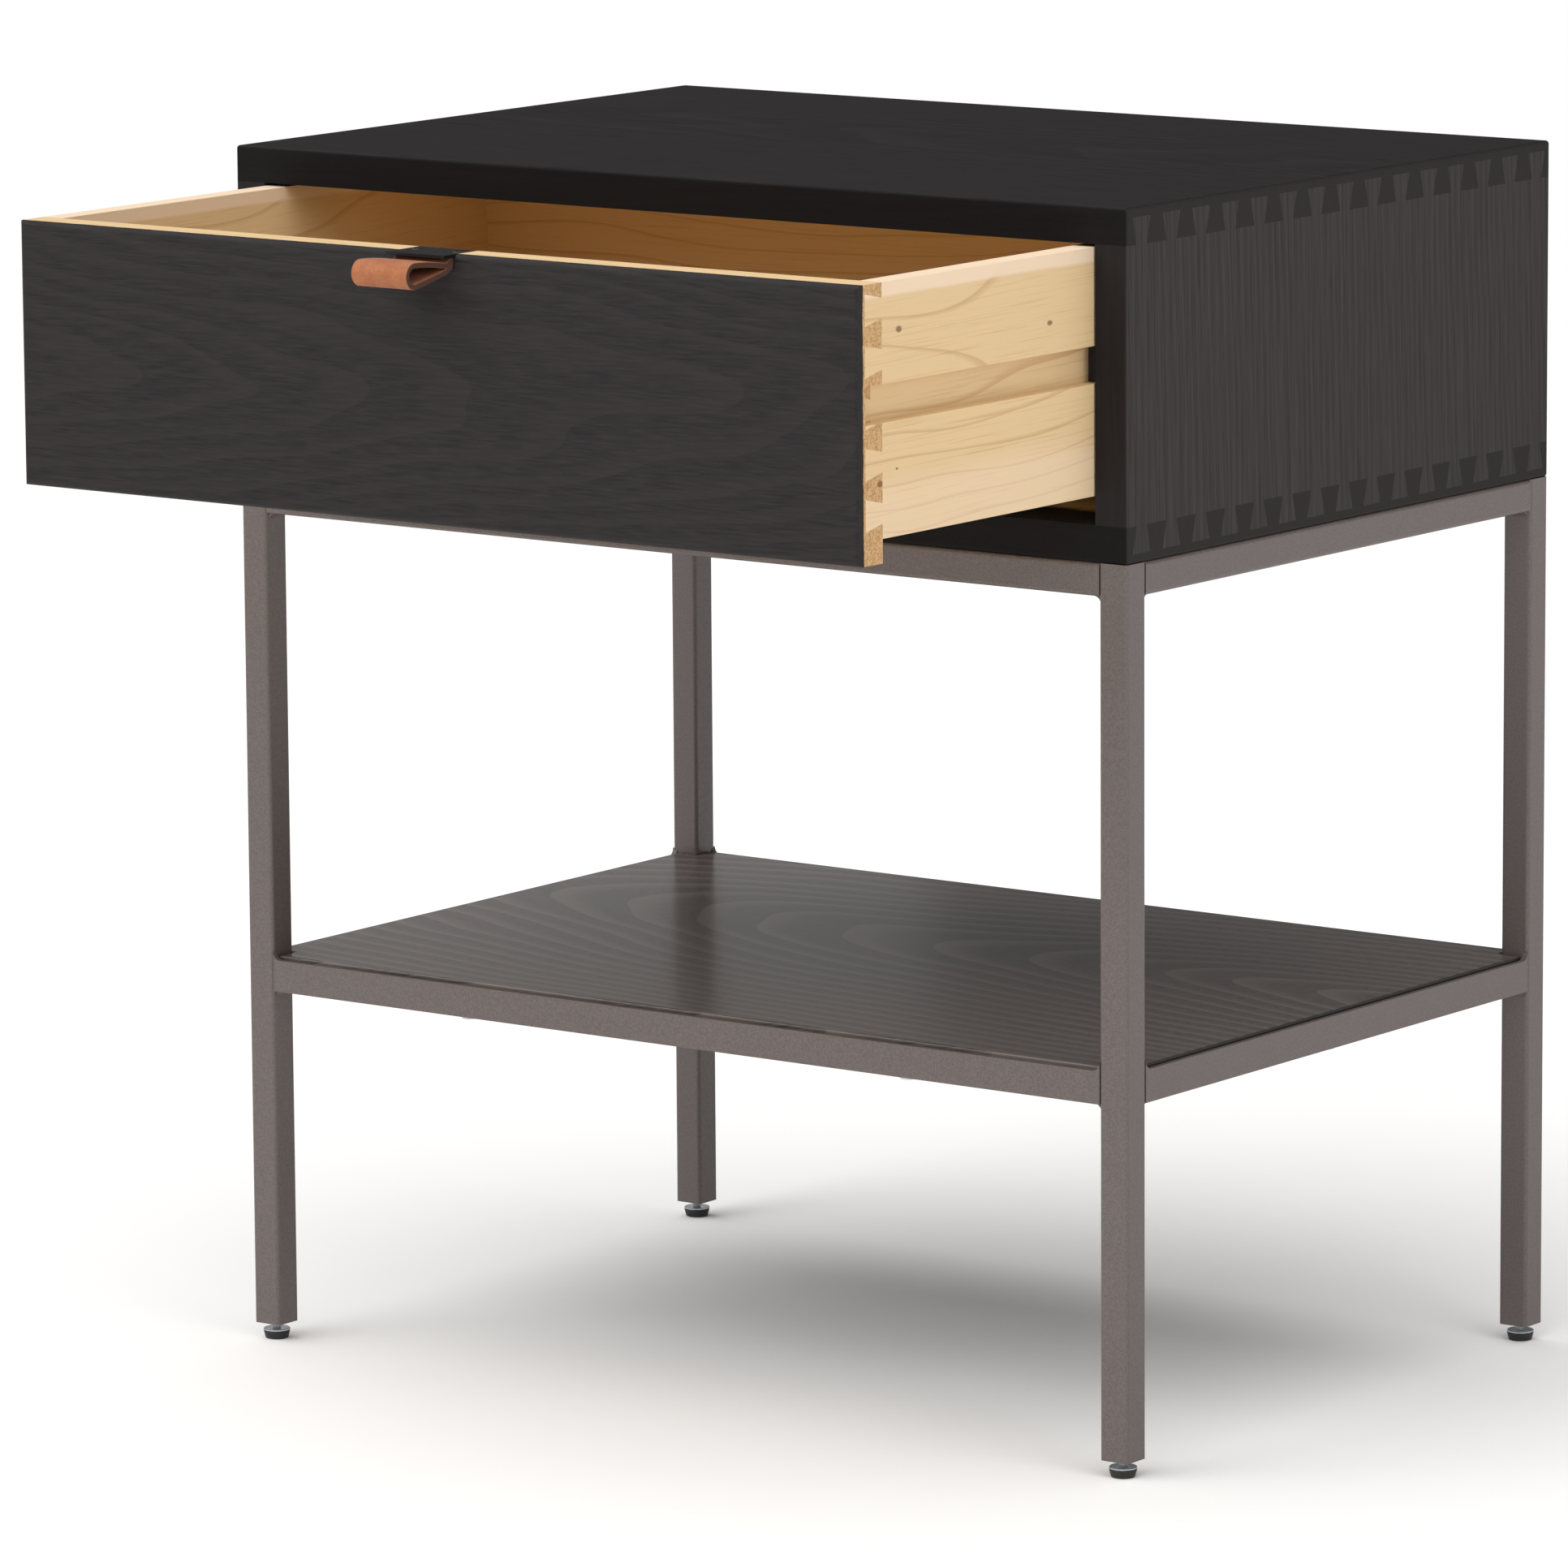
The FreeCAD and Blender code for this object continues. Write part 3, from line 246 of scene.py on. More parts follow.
def paint(node_name, material):
    """Give a CAD node its material."""
    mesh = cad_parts[node_name].data
    mesh.materials.clear()
    mesh.materials.append(material)


def settings():
    """The scene's settings."""
    scene = bpy.context.scene
    return scene.table_wood, scene.table_metal, scene.table_leather, scene.table_stage


# ---------------------------------------------------------------- wood

GRAIN_TURN = {
    # turns that bring a board's grain onto the pattern's own X
    "x": (0.0, 0.0, 0.0),
    "y": (0.0, 0.0, -math.pi / 2),
    "z": (0.0, math.pi / 2, 0.0),
}
GRAIN_AXIS = {"x": (1, 0, 0), "y": (0, 1, 0), "z": (0, 0, 1)}


def log_pattern(tree, grain, heart, lean, spacing, wander=0.03, squeeze=4.0):
    """Growth rings of a log whose heart passes at `heart` beside the board, leaning by `lean`.

    Gives the ring phase from 0 to 1 and the pattern's own coordinates, whose X runs with the grain.
    """
    where = add(tree, "ShaderNodeTexCoord").outputs["Object"]
    turned = add(tree, "ShaderNodeMapping", {"Vector": where}, {"Rotation": GRAIN_TURN[grain]})
    moved = add(tree, "ShaderNodeMapping", {"Vector": turned.outputs["Vector"]},
                {"Location": heart, "Rotation": (0.0, lean[0], lean[1])})
    drift_place = add(tree, "ShaderNodeVectorMath", {0: moved.outputs["Vector"]}, {1: (1.0, squeeze, squeeze)},
                      operation="MULTIPLY")
    drift = add(tree, "ShaderNodeTexNoise", {"Vector": drift_place.outputs[0]},
                {"Scale": 3.2, "Detail": 2.0, "Roughness": 0.4})
    # the trunk wanders by a few centimetres, which draws the pointed arches on flat-sawn faces
    push = add(tree, "ShaderNodeVectorMath", {0: drift.outputs["Color"]}, {1: (-0.5, -0.5, -0.5)}, operation="ADD")
    push_scaled = add(tree, "ShaderNodeVectorMath", {0: push.outputs[0]}, {1: (0.0, wander, wander)},
                      operation="MULTIPLY")
    bent = add(tree, "ShaderNodeVectorMath", {0: moved.outputs["Vector"], 1: push_scaled.outputs[0]},
               operation="ADD")
    flat = add(tree, "ShaderNodeVectorMath", {0: bent.outputs[0]}, {1: (0.0, 1.0, 1.0)}, operation="MULTIPLY")
    radius = add(tree, "ShaderNodeVectorMath", {0: flat.outputs[0]}, operation="LENGTH").outputs["Value"]
    rings = maths(tree, "DIVIDE", radius, spacing)
    return maths(tree, "FRACT", rings), moved.outputs["Vector"]


def fibres(tree, place, width, stretch=80.0):
    """Fine streaks along the pattern's X."""
    scale = 1 / width
    drawn = add(tree, "ShaderNodeVectorMath", {0: place}, {1: (scale / stretch, scale, scale)},
                operation="MULTIPLY")
    streaks = add(tree, "ShaderNodeTexNoise", {"Vector": drawn.outputs[0]},
                  {"Scale": 0.8, "Detail": 4.0, "Roughness": 0.6})
    return streaks.outputs["Fac"]


def front_shade_mask(tree):
    """1 on faces that look to the front, 0 on all others."""
    normal = add(tree, "ShaderNodeTexCoord").outputs["Normal"]
    facing = add(tree, "ShaderNodeVectorMath", {0: normal}, {1: (0, -1, 0)}, operation="DOT_PRODUCT")
    return level(tree, facing.outputs["Value"], 0.6, 0.8)


def end_grain(tree, grain):
    """1 on faces that cut across the grain, 0 on faces along it."""
    normal = add(tree, "ShaderNodeTexCoord").outputs["Normal"]
    along = add(tree, "ShaderNodeVectorMath", {0: normal}, {1: GRAIN_AXIS[grain]}, operation="DOT_PRODUCT")
    return level(tree, maths(tree, "ABSOLUTE", along.outputs["Value"]), 0.6, 0.8)


def washed_colour(tree, wood, phase, streaks, across, tones=None, figure=0.4):
    """Black wash over open grain: near black, with paler fibres and faint rings."""
    dark, light = tones or (wood.wash, wood.wash_light)
    body = ramp(tree, streaks, [(0.28, linear(dark)), (0.78, linear(light))])
    ring = level(tree, phase, 0.4, 0.98)
    ringed = blended(tree, maths(tree, "MULTIPLY", ring, figure), body, linear(light))
    return blended(tree, across, ringed, linear(wood.wash_end))


def poplar_colour(tree, wood, phase, streaks, across):
    """Pale yellow-brown wood with soft darker lines at each ring."""
    ring = level(tree, phase, 0.84, 0.98)
    body = ramp(tree, streaks, [(0.12, linear(wood.poplar_late)), (0.47, linear(wood.poplar))])
    ringed = blended(tree, maths(tree, "MULTIPLY", ring, 0.6), body, linear(wood.poplar_late))
    cut = ramp(tree, streaks, [(0.34, linear(wood.poplar_pores)), (0.56, linear(wood.poplar_end))])
    ringed_cut = blended(tree, maths(tree, "MULTIPLY", ring, 0.5), cut, linear(wood.poplar_pores))
    return blended(tree, across, ringed, ringed_cut)


def finish_wood(tree, shader, colour, streaks, rough, bump, coat=0.0, sheen=0.5):
    """Link colour, roughness from the fibres and a shallow bump to the shader."""
    tree.links.new(colour, shader.inputs["Base Color"])
    spread = add(tree, "ShaderNodeMapRange", {"Value": streaks}, {"To Min": rough - 0.07, "To Max": rough + 0.09})
    tree.links.new(spread.outputs["Result"], shader.inputs["Roughness"])
    relief = add(tree, "ShaderNodeBump", {"Height": streaks}, {"Strength": bump, "Distance": 0.25 * MM})
    tree.links.new(relief.outputs["Normal"], shader.inputs["Normal"])
    shader.inputs["IOR"].default_value = 1.5
    shader.inputs["Specular IOR Level"].default_value = sheen
    shader.inputs["Coat Weight"].default_value = coat
    shader.inputs["Coat Roughness"].default_value = 0.2


def bare_inside(tree, wood):
    """1 on the case's inner faces behind the stained front band."""
    where = add(tree, "ShaderNodeTexCoord").outputs["Object"]
    ragged = add(tree, "ShaderNodeTexNoise", {"Vector": where}, {"Scale": 60.0, "Detail": 3.0}).outputs["Fac"]
    parts = add(tree, "ShaderNodeSeparateXYZ", {"Vector": where})
    inner_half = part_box("case_back")[1].x + 0.2 * MM
    wander = maths(tree, "MULTIPLY", maths(tree, "SUBTRACT", ragged, 0.5), 14 * MM)
    edge = maths(tree, "ADD", parts.outputs["Y"], wander)
    depth = CASE_TOP_LOW.y + wood.bare_depth
    reached = level(tree, edge, depth - 5 * MM, depth + 9 * MM)
    panel = maths(tree, "LESS_THAN", parts.outputs["Y"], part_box("case_back")[0].y)
    behind = maths(tree, "MULTIPLY", reached, panel)
    side = maths(tree, "LESS_THAN", maths(tree, "ABSOLUTE", parts.outputs["X"]), inner_half)
    over = maths(tree, "GREATER_THAN", parts.outputs["Z"], CASE_FLOOR_HIGH.z - 0.2 * MM)
    under = maths(tree, "LESS_THAN", parts.outputs["Z"], CASE_TOP_LOW.z + 0.2 * MM)
    inside = maths(tree, "MULTIPLY", maths(tree, "MULTIPLY", side, over), under)
    return maths(tree, "MULTIPLY", inside, behind)


def washed_wood(name, grain, heart, lean=(0.01, 0.02), tones=None, case_board=False, shine=0.2):
    """Ash or poplar brushed with black stain and a thin satin oil: dark, but its grain still shows."""
    wood = settings()[0]
    material, tree, shader = new_material(name)
    phase, place = log_pattern(tree, grain, heart, lean, wood.ring_spacing)
    streaks = fibres(tree, place, wood.fibre_width)
    across = end_grain(tree, grain)
    colour = washed_colour(tree, wood, phase, streaks, across, tones)
    if case_board:
        # painted shade: the faces that look to the front are darkened towards a near-black edge colour
        colour = blended(tree, maths(tree, "MULTIPLY", front_shade_mask(tree), 0.8), colour, linear(wood.shaded_edge_wash))
        natural = poplar_colour(tree, wood, phase, streaks, across)
        colour = blended(tree, bare_inside(tree, wood), colour, natural)
    # open pores swallow most of the shine of a bare wash
    finish_wood(tree, shader, colour, streaks, 0.68, 0.35, sheen=shine)
    return material


def washed_shelf_wood(name, heart, lean):
    """The same wash rubbed thinner under a satin lacquer: browner, with bold arches and a clear reflection."""
    wood = settings()[0]
    material, tree, shader = new_material(name)
    phase, place = log_pattern(tree, "x", heart, lean, wood.ring_spacing * 2, 0.04, 2.0)
    streaks = fibres(tree, place, wood.fibre_width)
    across = end_grain(tree, "x")
    tones = (wood.shelf_wash, wood.shelf_wash_light)
    colour = washed_colour(tree, wood, phase, streaks, across, tones, 0.85)
    finish_wood(tree, shader, colour, streaks, 0.42, 0.35, coat=0.4)
    return material


def sap_band(tree, wood, colour, low, high, soft, share):
    """Blend pinkish sapwood in between two heights."""
    where = add(tree, "ShaderNodeTexCoord").outputs["Object"]
    wave_place = add(tree, "ShaderNodeVectorMath", {0: where}, {1: (6.0, 6.0, 1.0)}, operation="MULTIPLY")
    wave = add(tree, "ShaderNodeTexNoise", {"Vector": wave_place.outputs[0]}, {"Scale": 1.4, "Detail": 2.0})
    height = add(tree, "ShaderNodeSeparateXYZ", {"Vector": where}).outputs["Z"]
    wander = maths(tree, "MULTIPLY", maths(tree, "SUBTRACT", wave.outputs["Fac"], 0.5), soft * 3)
    edge = maths(tree, "ADD", height, wander)
    inside = maths(tree, "MULTIPLY", level(tree, edge, low - soft, low + soft),
                   maths(tree, "SUBTRACT", 1.0, level(tree, edge, high - soft, high + soft)))
    return blended(tree, maths(tree, "MULTIPLY", inside, share), colour, linear(wood.poplar_sap))


def pin_knot(tree, wood, colour, place, size):
    """A small round knot at a place on the board."""
    where = add(tree, "ShaderNodeTexCoord").outputs["Object"]
    ragged = add(tree, "ShaderNodeTexNoise", {"Vector": where}, {"Scale": 300.0, "Detail": 2.0}).outputs["Fac"]
    off = add(tree, "ShaderNodeVectorMath", {0: where}, {1: place}, operation="SUBTRACT")
    squat = add(tree, "ShaderNodeVectorMath", {0: off.outputs[0]}, {1: (1.0, 0.75, 1.25)}, operation="MULTIPLY")
    away = add(tree, "ShaderNodeVectorMath", {0: squat.outputs[0]}, operation="LENGTH").outputs["Value"]
    rough_edge = maths(tree, "ADD", away, maths(tree, "MULTIPLY", ragged, size * 0.6))
    heart = maths(tree, "SUBTRACT", 1.0, level(tree, rough_edge, size * 0.9, size * 1.5))
    return blended(tree, maths(tree, "MULTIPLY", heart, 0.85), colour, linear(wood.knot))


def natural_wood(name, grain, heart, lean=(0.01, 0.02), bands=(), knots=(), stained_face=False):
    """Poplar, planed and oiled: pale and dull, with soft ring lines and darker, ringed end grain."""
    wood = settings()[0]
    material, tree, shader = new_material(name)
    phase, place = log_pattern(tree, grain, heart, lean, wood.ring_spacing)
    streaks = fibres(tree, place, wood.fibre_width)
    across = end_grain(tree, grain)
    colour = poplar_colour(tree, wood, phase, streaks, across)
    for low, high, soft, share in bands:
        colour = sap_band(tree, wood, colour, low, high, soft, share)
    for spot, size in knots:
        colour = pin_knot(tree, wood, colour, spot, size)
    if stained_face:
        where = add(tree, "ShaderNodeTexCoord").outputs["Object"]
        ragged = add(tree, "ShaderNodeTexNoise", {"Vector": where}, {"Scale": 220.0, "Detail": 3.0})
        wander = maths(tree, "MULTIPLY", maths(tree, "SUBTRACT", ragged.outputs["Fac"], 0.5), 1.6 * MM)
        depth = add(tree, "ShaderNodeSeparateXYZ", {"Vector": where}).outputs["Y"]
        edge = maths(tree, "ADD", depth, wander)
        reach = DRAWER_LOW.y + wood.face_stain
        stained = maths(tree, "SUBTRACT", 1.0, level(tree, edge, reach - 0.3 * MM, reach + 0.3 * MM))
        black = washed_colour(tree, wood, phase, streaks, maths(tree, "MULTIPLY", across, 0.5))
        colour = blended(tree, stained, colour, black)
    finish_wood(tree, shader, colour, streaks, 0.62, 0.3, sheen=0.2 if stained_face else 0.4)
    return material


def plywood(name):
    """Birch plywood: a pale rotary-cut face with wide lazy figure."""
    return natural_wood(name, "x", (0.0, 0.02, -0.25), (0.004, 0.01))


# ---------------------------------------------------------------- metal, plastic and leather

def powder_coat(name):
    """Powder-coated steel, warm grey: satin, with a very fine orange peel that softens reflections."""
    metal = settings()[1]
    material, tree, shader = new_material(name)
    where = add(tree, "ShaderNodeTexCoord").outputs["Object"]
    sand = add(tree, "ShaderNodeTexNoise", {"Vector": where}, {"Scale": 0.65 / metal.grit, "Detail": 2.0})
    colour = ramp(tree, sand.outputs["Fac"], [(0.4, linear(metal.powder_dark)), (0.6, linear(metal.powder))])
    tree.links.new(colour, shader.inputs["Base Color"])
    grain = add(tree, "ShaderNodeTexNoise", {"Vector": where}, {"Scale": 0.5 / metal.grit, "Detail": 2.0})
    relief = add(tree, "ShaderNodeBump", {"Height": grain.outputs["Fac"]}, {"Strength": 0.22, "Distance": 0.1 * MM})
    tree.links.new(relief.outputs["Normal"], shader.inputs["Normal"])
    shader.inputs["Roughness"].default_value = 0.4
    shader.inputs["IOR"].default_value = 1.5
    return material


def plated_steel(name, colour, rough, metallic=1.0):
    """Plated steel, brushed by handling: bright, with fine random scratches in its roughness."""
    material, tree, shader = new_material(name)
    where = add(tree, "ShaderNodeTexCoord").outputs["Object"]
    wear = add(tree, "ShaderNodeTexNoise", {"Vector": where}, {"Scale": 700.0, "Detail": 4.0})
    spread = add(tree, "ShaderNodeMapRange", {"Value": wear.outputs["Fac"]},
                 {"To Min": rough - 0.1, "To Max": rough + 0.12})
    tree.links.new(spread.outputs["Result"], shader.inputs["Roughness"])
    tint = linear(colour)
    dull = [c * 0.8 for c in tint[:3]] + [1.0]
    shade = ramp(tree, wear.outputs["Fac"], [(0.35, dull), (0.6, tint)])
    tree.links.new(shade, shader.inputs["Base Color"])
    shader.inputs["Metallic"].default_value = metallic
    return material


def pad_plastic(name):
    """Moulded black polyethylene: dull, slightly waxy, with a fine moulded grain."""
    material, tree, shader = new_material(name)
    where = add(tree, "ShaderNodeTexCoord").outputs["Object"]
    grain = add(tree, "ShaderNodeTexNoise", {"Vector": where}, {"Scale": 900.0, "Detail": 2.0})
    colour = ramp(tree, grain.outputs["Fac"], [(0.3, linear("141313")), (0.7, linear("201f1f"))])
    tree.links.new(colour, shader.inputs["Base Color"])
    relief = add(tree, "ShaderNodeBump", {"Height": grain.outputs["Fac"]}, {"Strength": 0.3, "Distance": 0.1 * MM})
    tree.links.new(relief.outputs["Normal"], shader.inputs["Normal"])
    shader.inputs["Roughness"].default_value = 0.55
    shader.inputs["IOR"].default_value = 1.51
    return material


def nubuck(name):
    """Vegetable-tanned nubuck: matt and velvety tan, clouded by handling, with dark dense cut edges."""
    leather = settings()[2]
    material, tree, shader = new_material(name)
    coords = add(tree, "ShaderNodeTexCoord")
    where = coords.outputs["Object"]
    cloud = add(tree, "ShaderNodeTexNoise", {"Vector": where}, {"Scale": 120.0, "Detail": 5.0, "Roughness": 0.6})
    nap = add(tree, "ShaderNodeTexNoise", {"Vector": where}, {"Scale": 0.6 / leather.nap, "Detail": 3.0})
    face = ramp(tree, cloud.outputs["Fac"], [(0.35, linear(leather.tan)), (0.7, linear(leather.tan_worn))])
    dark = [c * 0.72 for c in linear(leather.tan)[:3]] + [1.0]
    face = blended(tree, level(tree, nap.outputs["Fac"], 0.5, 0.25), face, dark)
    side = add(tree, "ShaderNodeVectorMath", {0: coords.outputs["Normal"]}, {1: (1, 0, 0)}, operation="DOT_PRODUCT")
    cut_face = level(tree, maths(tree, "ABSOLUTE", side.outputs["Value"]), 0.55, 0.85)
    colour = blended(tree, cut_face, face, linear(leather.edge))
    tree.links.new(colour, shader.inputs["Base Color"])
    relief = add(tree, "ShaderNodeBump", {"Height": nap.outputs["Fac"]}, {"Strength": 0.5, "Distance": 0.2 * MM})
    tree.links.new(relief.outputs["Normal"], shader.inputs["Normal"])
    shader.inputs["Roughness"].default_value = 0.78
    shader.inputs["Sheen Weight"].default_value = 0.08
    shader.inputs["Sheen Roughness"].default_value = 0.5
    return material


# ---------------------------------------------------------------- modelling helpers

def start_clean():
    """Leave edit mode's leftovers and any selection."""
    if bpy.context.object and bpy.context.object.mode != "OBJECT":
        bpy.ops.object.mode_set(mode="OBJECT")
    bpy.ops.object.select_all(action="DESELECT")


def single_point(place):
    """A mesh object of one vertex, in edit mode with it selected, to be drawn out by extruding."""
    start_clean()
    bpy.ops.mesh.primitive_plane_add(size=MM, location=place)
    bpy.ops.object.mode_set(mode="EDIT")
    bpy.ops.mesh.select_all(action="SELECT")
    bpy.ops.mesh.merge(type="CENTER")
    return bpy.context.object


def draw_out(points):
    """Extrude the selected vertex or edge from each point to the next."""
    for here, there in zip(points, points[1:]):
        bpy.ops.mesh.extrude_region_move(TRANSFORM_OT_translate={"value": Vector(there) - Vector(here)})


def settle(piece, name, smooth_angle=35.0):
    """Apply the object's place, name it and smooth its faces."""
    if piece.mode != "OBJECT":
        bpy.ops.object.mode_set(mode="OBJECT")
    start_clean()
    piece.select_set(True)
    bpy.context.view_layer.objects.active = piece
    bpy.ops.object.transform_apply(location=True, rotation=True, scale=True)
    bpy.ops.object.shade_smooth_by_angle(angle=math.radians(smooth_angle))
    piece.name = name
    piece.data.name = name
    return piece


def apply_modifier(piece, kind, **values):
    """Add a modifier with its values and apply it."""
    modifier = piece.modifiers.new(kind.title(), kind)
    for name, number in values.items():
        setattr(modifier, name, number)
    start_clean()
    piece.select_set(True)
    bpy.context.view_layer.objects.active = piece
    bpy.ops.object.modifier_apply(modifier=modifier.name)


def turned_piece(name, centre, profile, steps=40):
    """A lathe-turned piece: (radius, height) points from axis to axis, spun round the vertical at centre."""
    points = [Vector((centre[0] + radius, centre[1], height)) for radius, height in profile]
    piece = single_point(points[0])
    draw_out(points)
    bpy.ops.mesh.select_all(action="SELECT")
    bpy.ops.mesh.spin(steps=steps, angle=2 * math.pi, center=(centre[0], centre[1], 0), axis=(0, 0, 1))
    bpy.ops.mesh.select_all(action="SELECT")
    bpy.ops.mesh.remove_doubles(threshold=2 * SMALLEST)
    bpy.ops.mesh.normals_make_consistent(inside=False)
    return settle(piece, name)


def hand_over(piece, body, slot, material, *nodes):
    """Material, body and replaced nodes of a finished piece; the slot is not used."""
    piece.data.materials.clear()
    piece.data.materials.append(material)
    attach(piece, body)
    if nodes:
        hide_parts(*nodes)


# ---------------------------------------------------------------- operators

class TABLE_OT_case(bpy.types.Operator):
    """Finish the case boards, back panel and runners in black-washed wood"""
    bl_idname = "table.case"
    bl_label = "Case"

    def execute(self, context):
        wood = settings()[0]
        # painted shade: the lying boards take the darker copy of the wash
        lying = (wood.shaded_top_wash, wood.shaded_top_fibres)
        # painted light: the upright sides take the lighter copy of the wash
        lit_upright_tones = (wood.lit_side_wash, wood.lit_side_fibres)
        paint("case_top", washed_wood("black_washed_top_board", "x", (0.1, -0.15, -0.52), (0.03, 0.012),
                                      lying, True, 0.12))
        paint("case_bottom", washed_wood("black_washed_bottom_board", "x", (0.4, -0.2, -0.40), (0.02, 0.01),
                                         lying, True, 0.12))
        paint("case_side_left", washed_wood("black_washed_left_board", "z", (0.2, 0.37, -0.12), (0.02, 0.02),
                                            lit_upright_tones, True))
        paint("case_side_right", washed_wood("black_washed_right_board", "z", (0.7, 0.35, 0.15), (0.02, 0.03),
                                             lit_upright_tones, True))
        paint("case_back", washed_wood("black_washed_back_panel", "x", (0.3, -0.36, -0.55)))
        runner = washed_wood("black_washed_runner", "y", (0.1, 0.05, 0.02))
        paint("runner_left", runner)
        paint("runner_right", runner)
        return {"FINISHED"}


class TABLE_OT_drawer(bpy.types.Operator):
    """Finish the drawer in natural poplar, its face stained black"""
    bl_idname = "table.drawer"
    bl_label = "Drawer"

    def execute(self, context):
        side_low, side_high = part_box("drawer_side_right")
        bands = [
            (side_high.z - 7 * MM, side_high.z + 20 * MM, 1.2 * MM, 0.85),
            (side_low.z - 20 * MM, side_low.z + 27 * MM, 7 * MM, 0.4),
        ]
        knots = [
            ((side_high.x, side_low.y + 28 * MM, side_high.z - 24 * MM), 2.2 * MM),
            ((side_high.x, side_low.y + 156 * MM, side_high.z - 34 * MM), 1.8 * MM),
            ((side_high.x, side_low.y + 26 * MM, side_low.z + 33 * MM), 0.8 * MM),
        ]
        end_knots = [((side_high.x, DRAWER_HIGH.y - 2 * MM, side_low.z + 27 * MM), 2.0 * MM)]
        heart = (0.3, -0.14, -0.58)
        paint("drawer_front", natural_wood("poplar_front_black_face", "x", (0.2, 0.37, -0.56), (0.01, 0.06),
                                           knots=end_knots, stained_face=True))
        paint("drawer_side_right", natural_wood("poplar_right_side", "y", (0.3, 0.14, -0.60), (0.02, 0.012),
                                                bands, knots))
        paint("drawer_side_left", natural_wood("poplar_left_side", "y", heart, (0.02, 0.012), bands[:1]))
        paint("drawer_back", natural_wood("poplar_back", "x", (0.6, -0.22, -0.52), (0.015, 0.01)))
        paint("drawer_bottom", plywood("birch_plywood_bottom"))
        return {"FINISHED"}


class TABLE_OT_frame(bpy.types.Operator):
    """Finish the welded frame in warm grey powder coat"""
    bl_idname = "table.frame"
    bl_label = "Frame"

    def execute(self, context):
        coat = powder_coat("grey_powder_coat")
        for corner in CORNERS:
            paint("leg_" + corner, coat)
        for side in ("front", "back", "left", "right"):
            paint("top_rail_" + side, coat)
            paint("shelf_angle_" + side, coat)
        paint("weld_beads", coat)
        return {"FINISHED"}


class TABLE_OT_shelf(bpy.types.Operator):
    """Finish the lower shelf in black-washed wood with a satin top coat"""
    bl_idname = "table.shelf"
    bl_label = "Shelf"

    def execute(self, context):
        paint("shelf_board", washed_shelf_wood("black_washed_shelf", (0.0, -0.16, -0.12), (0.22, 0.03)))
        return {"FINISHED"}


class TABLE_OT_fixings(bpy.types.Operator):
    """Finish the screws and inserts in zinc-plated steel"""
    bl_idname = "table.fixings"
    bl_label = "Fixings"

    def execute(self, context):
        zinc = plated_steel("zinc_plated_fixings", settings()[1].zinc, 0.35)
        for name in ("runner_screws", "case_screws", "shelf_screws", "drawer_bottom_screws", "foot_inserts"):
            paint(name, zinc)
        return {"FINISHED"}


class TABLE_OT_feet(bpy.types.Operator):
    """Model the four levelling feet: threaded stem, flange and moulded pad"""
    bl_idname = "table.feet"
    bl_label = "Levelling Feet"

    def execute(self, context):
        metal = settings()[1]
        zinc = plated_steel("zinc_plated_foot", metal.zinc, 0.3)
        plastic = pad_plastic("black_pad_plastic")
        for corner in CORNERS:
            self.screw(corner, metal, zinc)
            self.pad(corner, plastic)
        return {"FINISHED"}

    def screw(self, corner, metal, zinc):
        """The stem with its thread, and the flange under it."""
        node = "foot_screw_" + corner
        low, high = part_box(node)
        centre = (low + high) / 2
        flange = (high.x - low.x) / 2
        flange_thick = 1.0 * MM
        stem = 2.4 * MM
        root = stem - 0.45 * MM
        profile = [(0, low.z), (flange - 0.2 * MM, low.z), (flange, low.z + 0.2 * MM),
                   (flange, low.z + flange_thick - 0.3 * MM), (flange - 0.4 * MM, low.z + flange_thick),
                   (root, low.z + flange_thick)]
        turns = int((high.z - low.z - flange_thick - 1 * MM) / metal.thread_pitch)
        start = low.z + flange_thick + 0.2 * MM
        for turn in range(turns):
            foot = start + turn * metal.thread_pitch
            profile.append((root, foot))
            profile.append((stem, foot + metal.thread_pitch * 0.45))
            profile.append((stem, foot + metal.thread_pitch * 0.55))
        profile.append((root, high.z - 0.3 * MM))
        profile.append((root - 0.3 * MM, high.z))
        profile.append((0, high.z))
        piece = turned_piece("levelling_screw_" + corner, centre, profile, 32)
        hand_over(piece, "foot_" + corner, "zinc_steel", zinc, node)

    def pad(self, corner, plastic):
        """The tapered pad with rounded edges and a shallow hollow under it."""
        node = "foot_pad_" + corner
        low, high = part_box(node)
        centre = (low + high) / 2
        wide = (high.x - low.x) / 2
        slim = wide - 1.0 * MM
        tall = high.z - low.z
        profile = [(0, low.z + 0.5 * MM), (slim - 2.2 * MM, low.z + 0.5 * MM), (slim - 1.9 * MM, low.z),
                   (slim - 0.7 * MM, low.z), (slim - 0.2 * MM, low.z + 0.2 * MM), (slim, low.z + 0.6 * MM),
                   (slim + 0.55 * MM, low.z + tall * 0.55), (wide - 0.15 * MM, high.z - 0.7 * MM),
                   (wide, high.z - 0.45 * MM), (wide - 0.15 * MM, high.z - 0.1 * MM), (wide - 0.5 * MM, high.z),
                   (0, high.z)]
        piece = turned_piece("levelling_pad_" + corner, centre, profile, 48)
        hand_over(piece, "foot_" + corner, "black_pad", plastic, node)


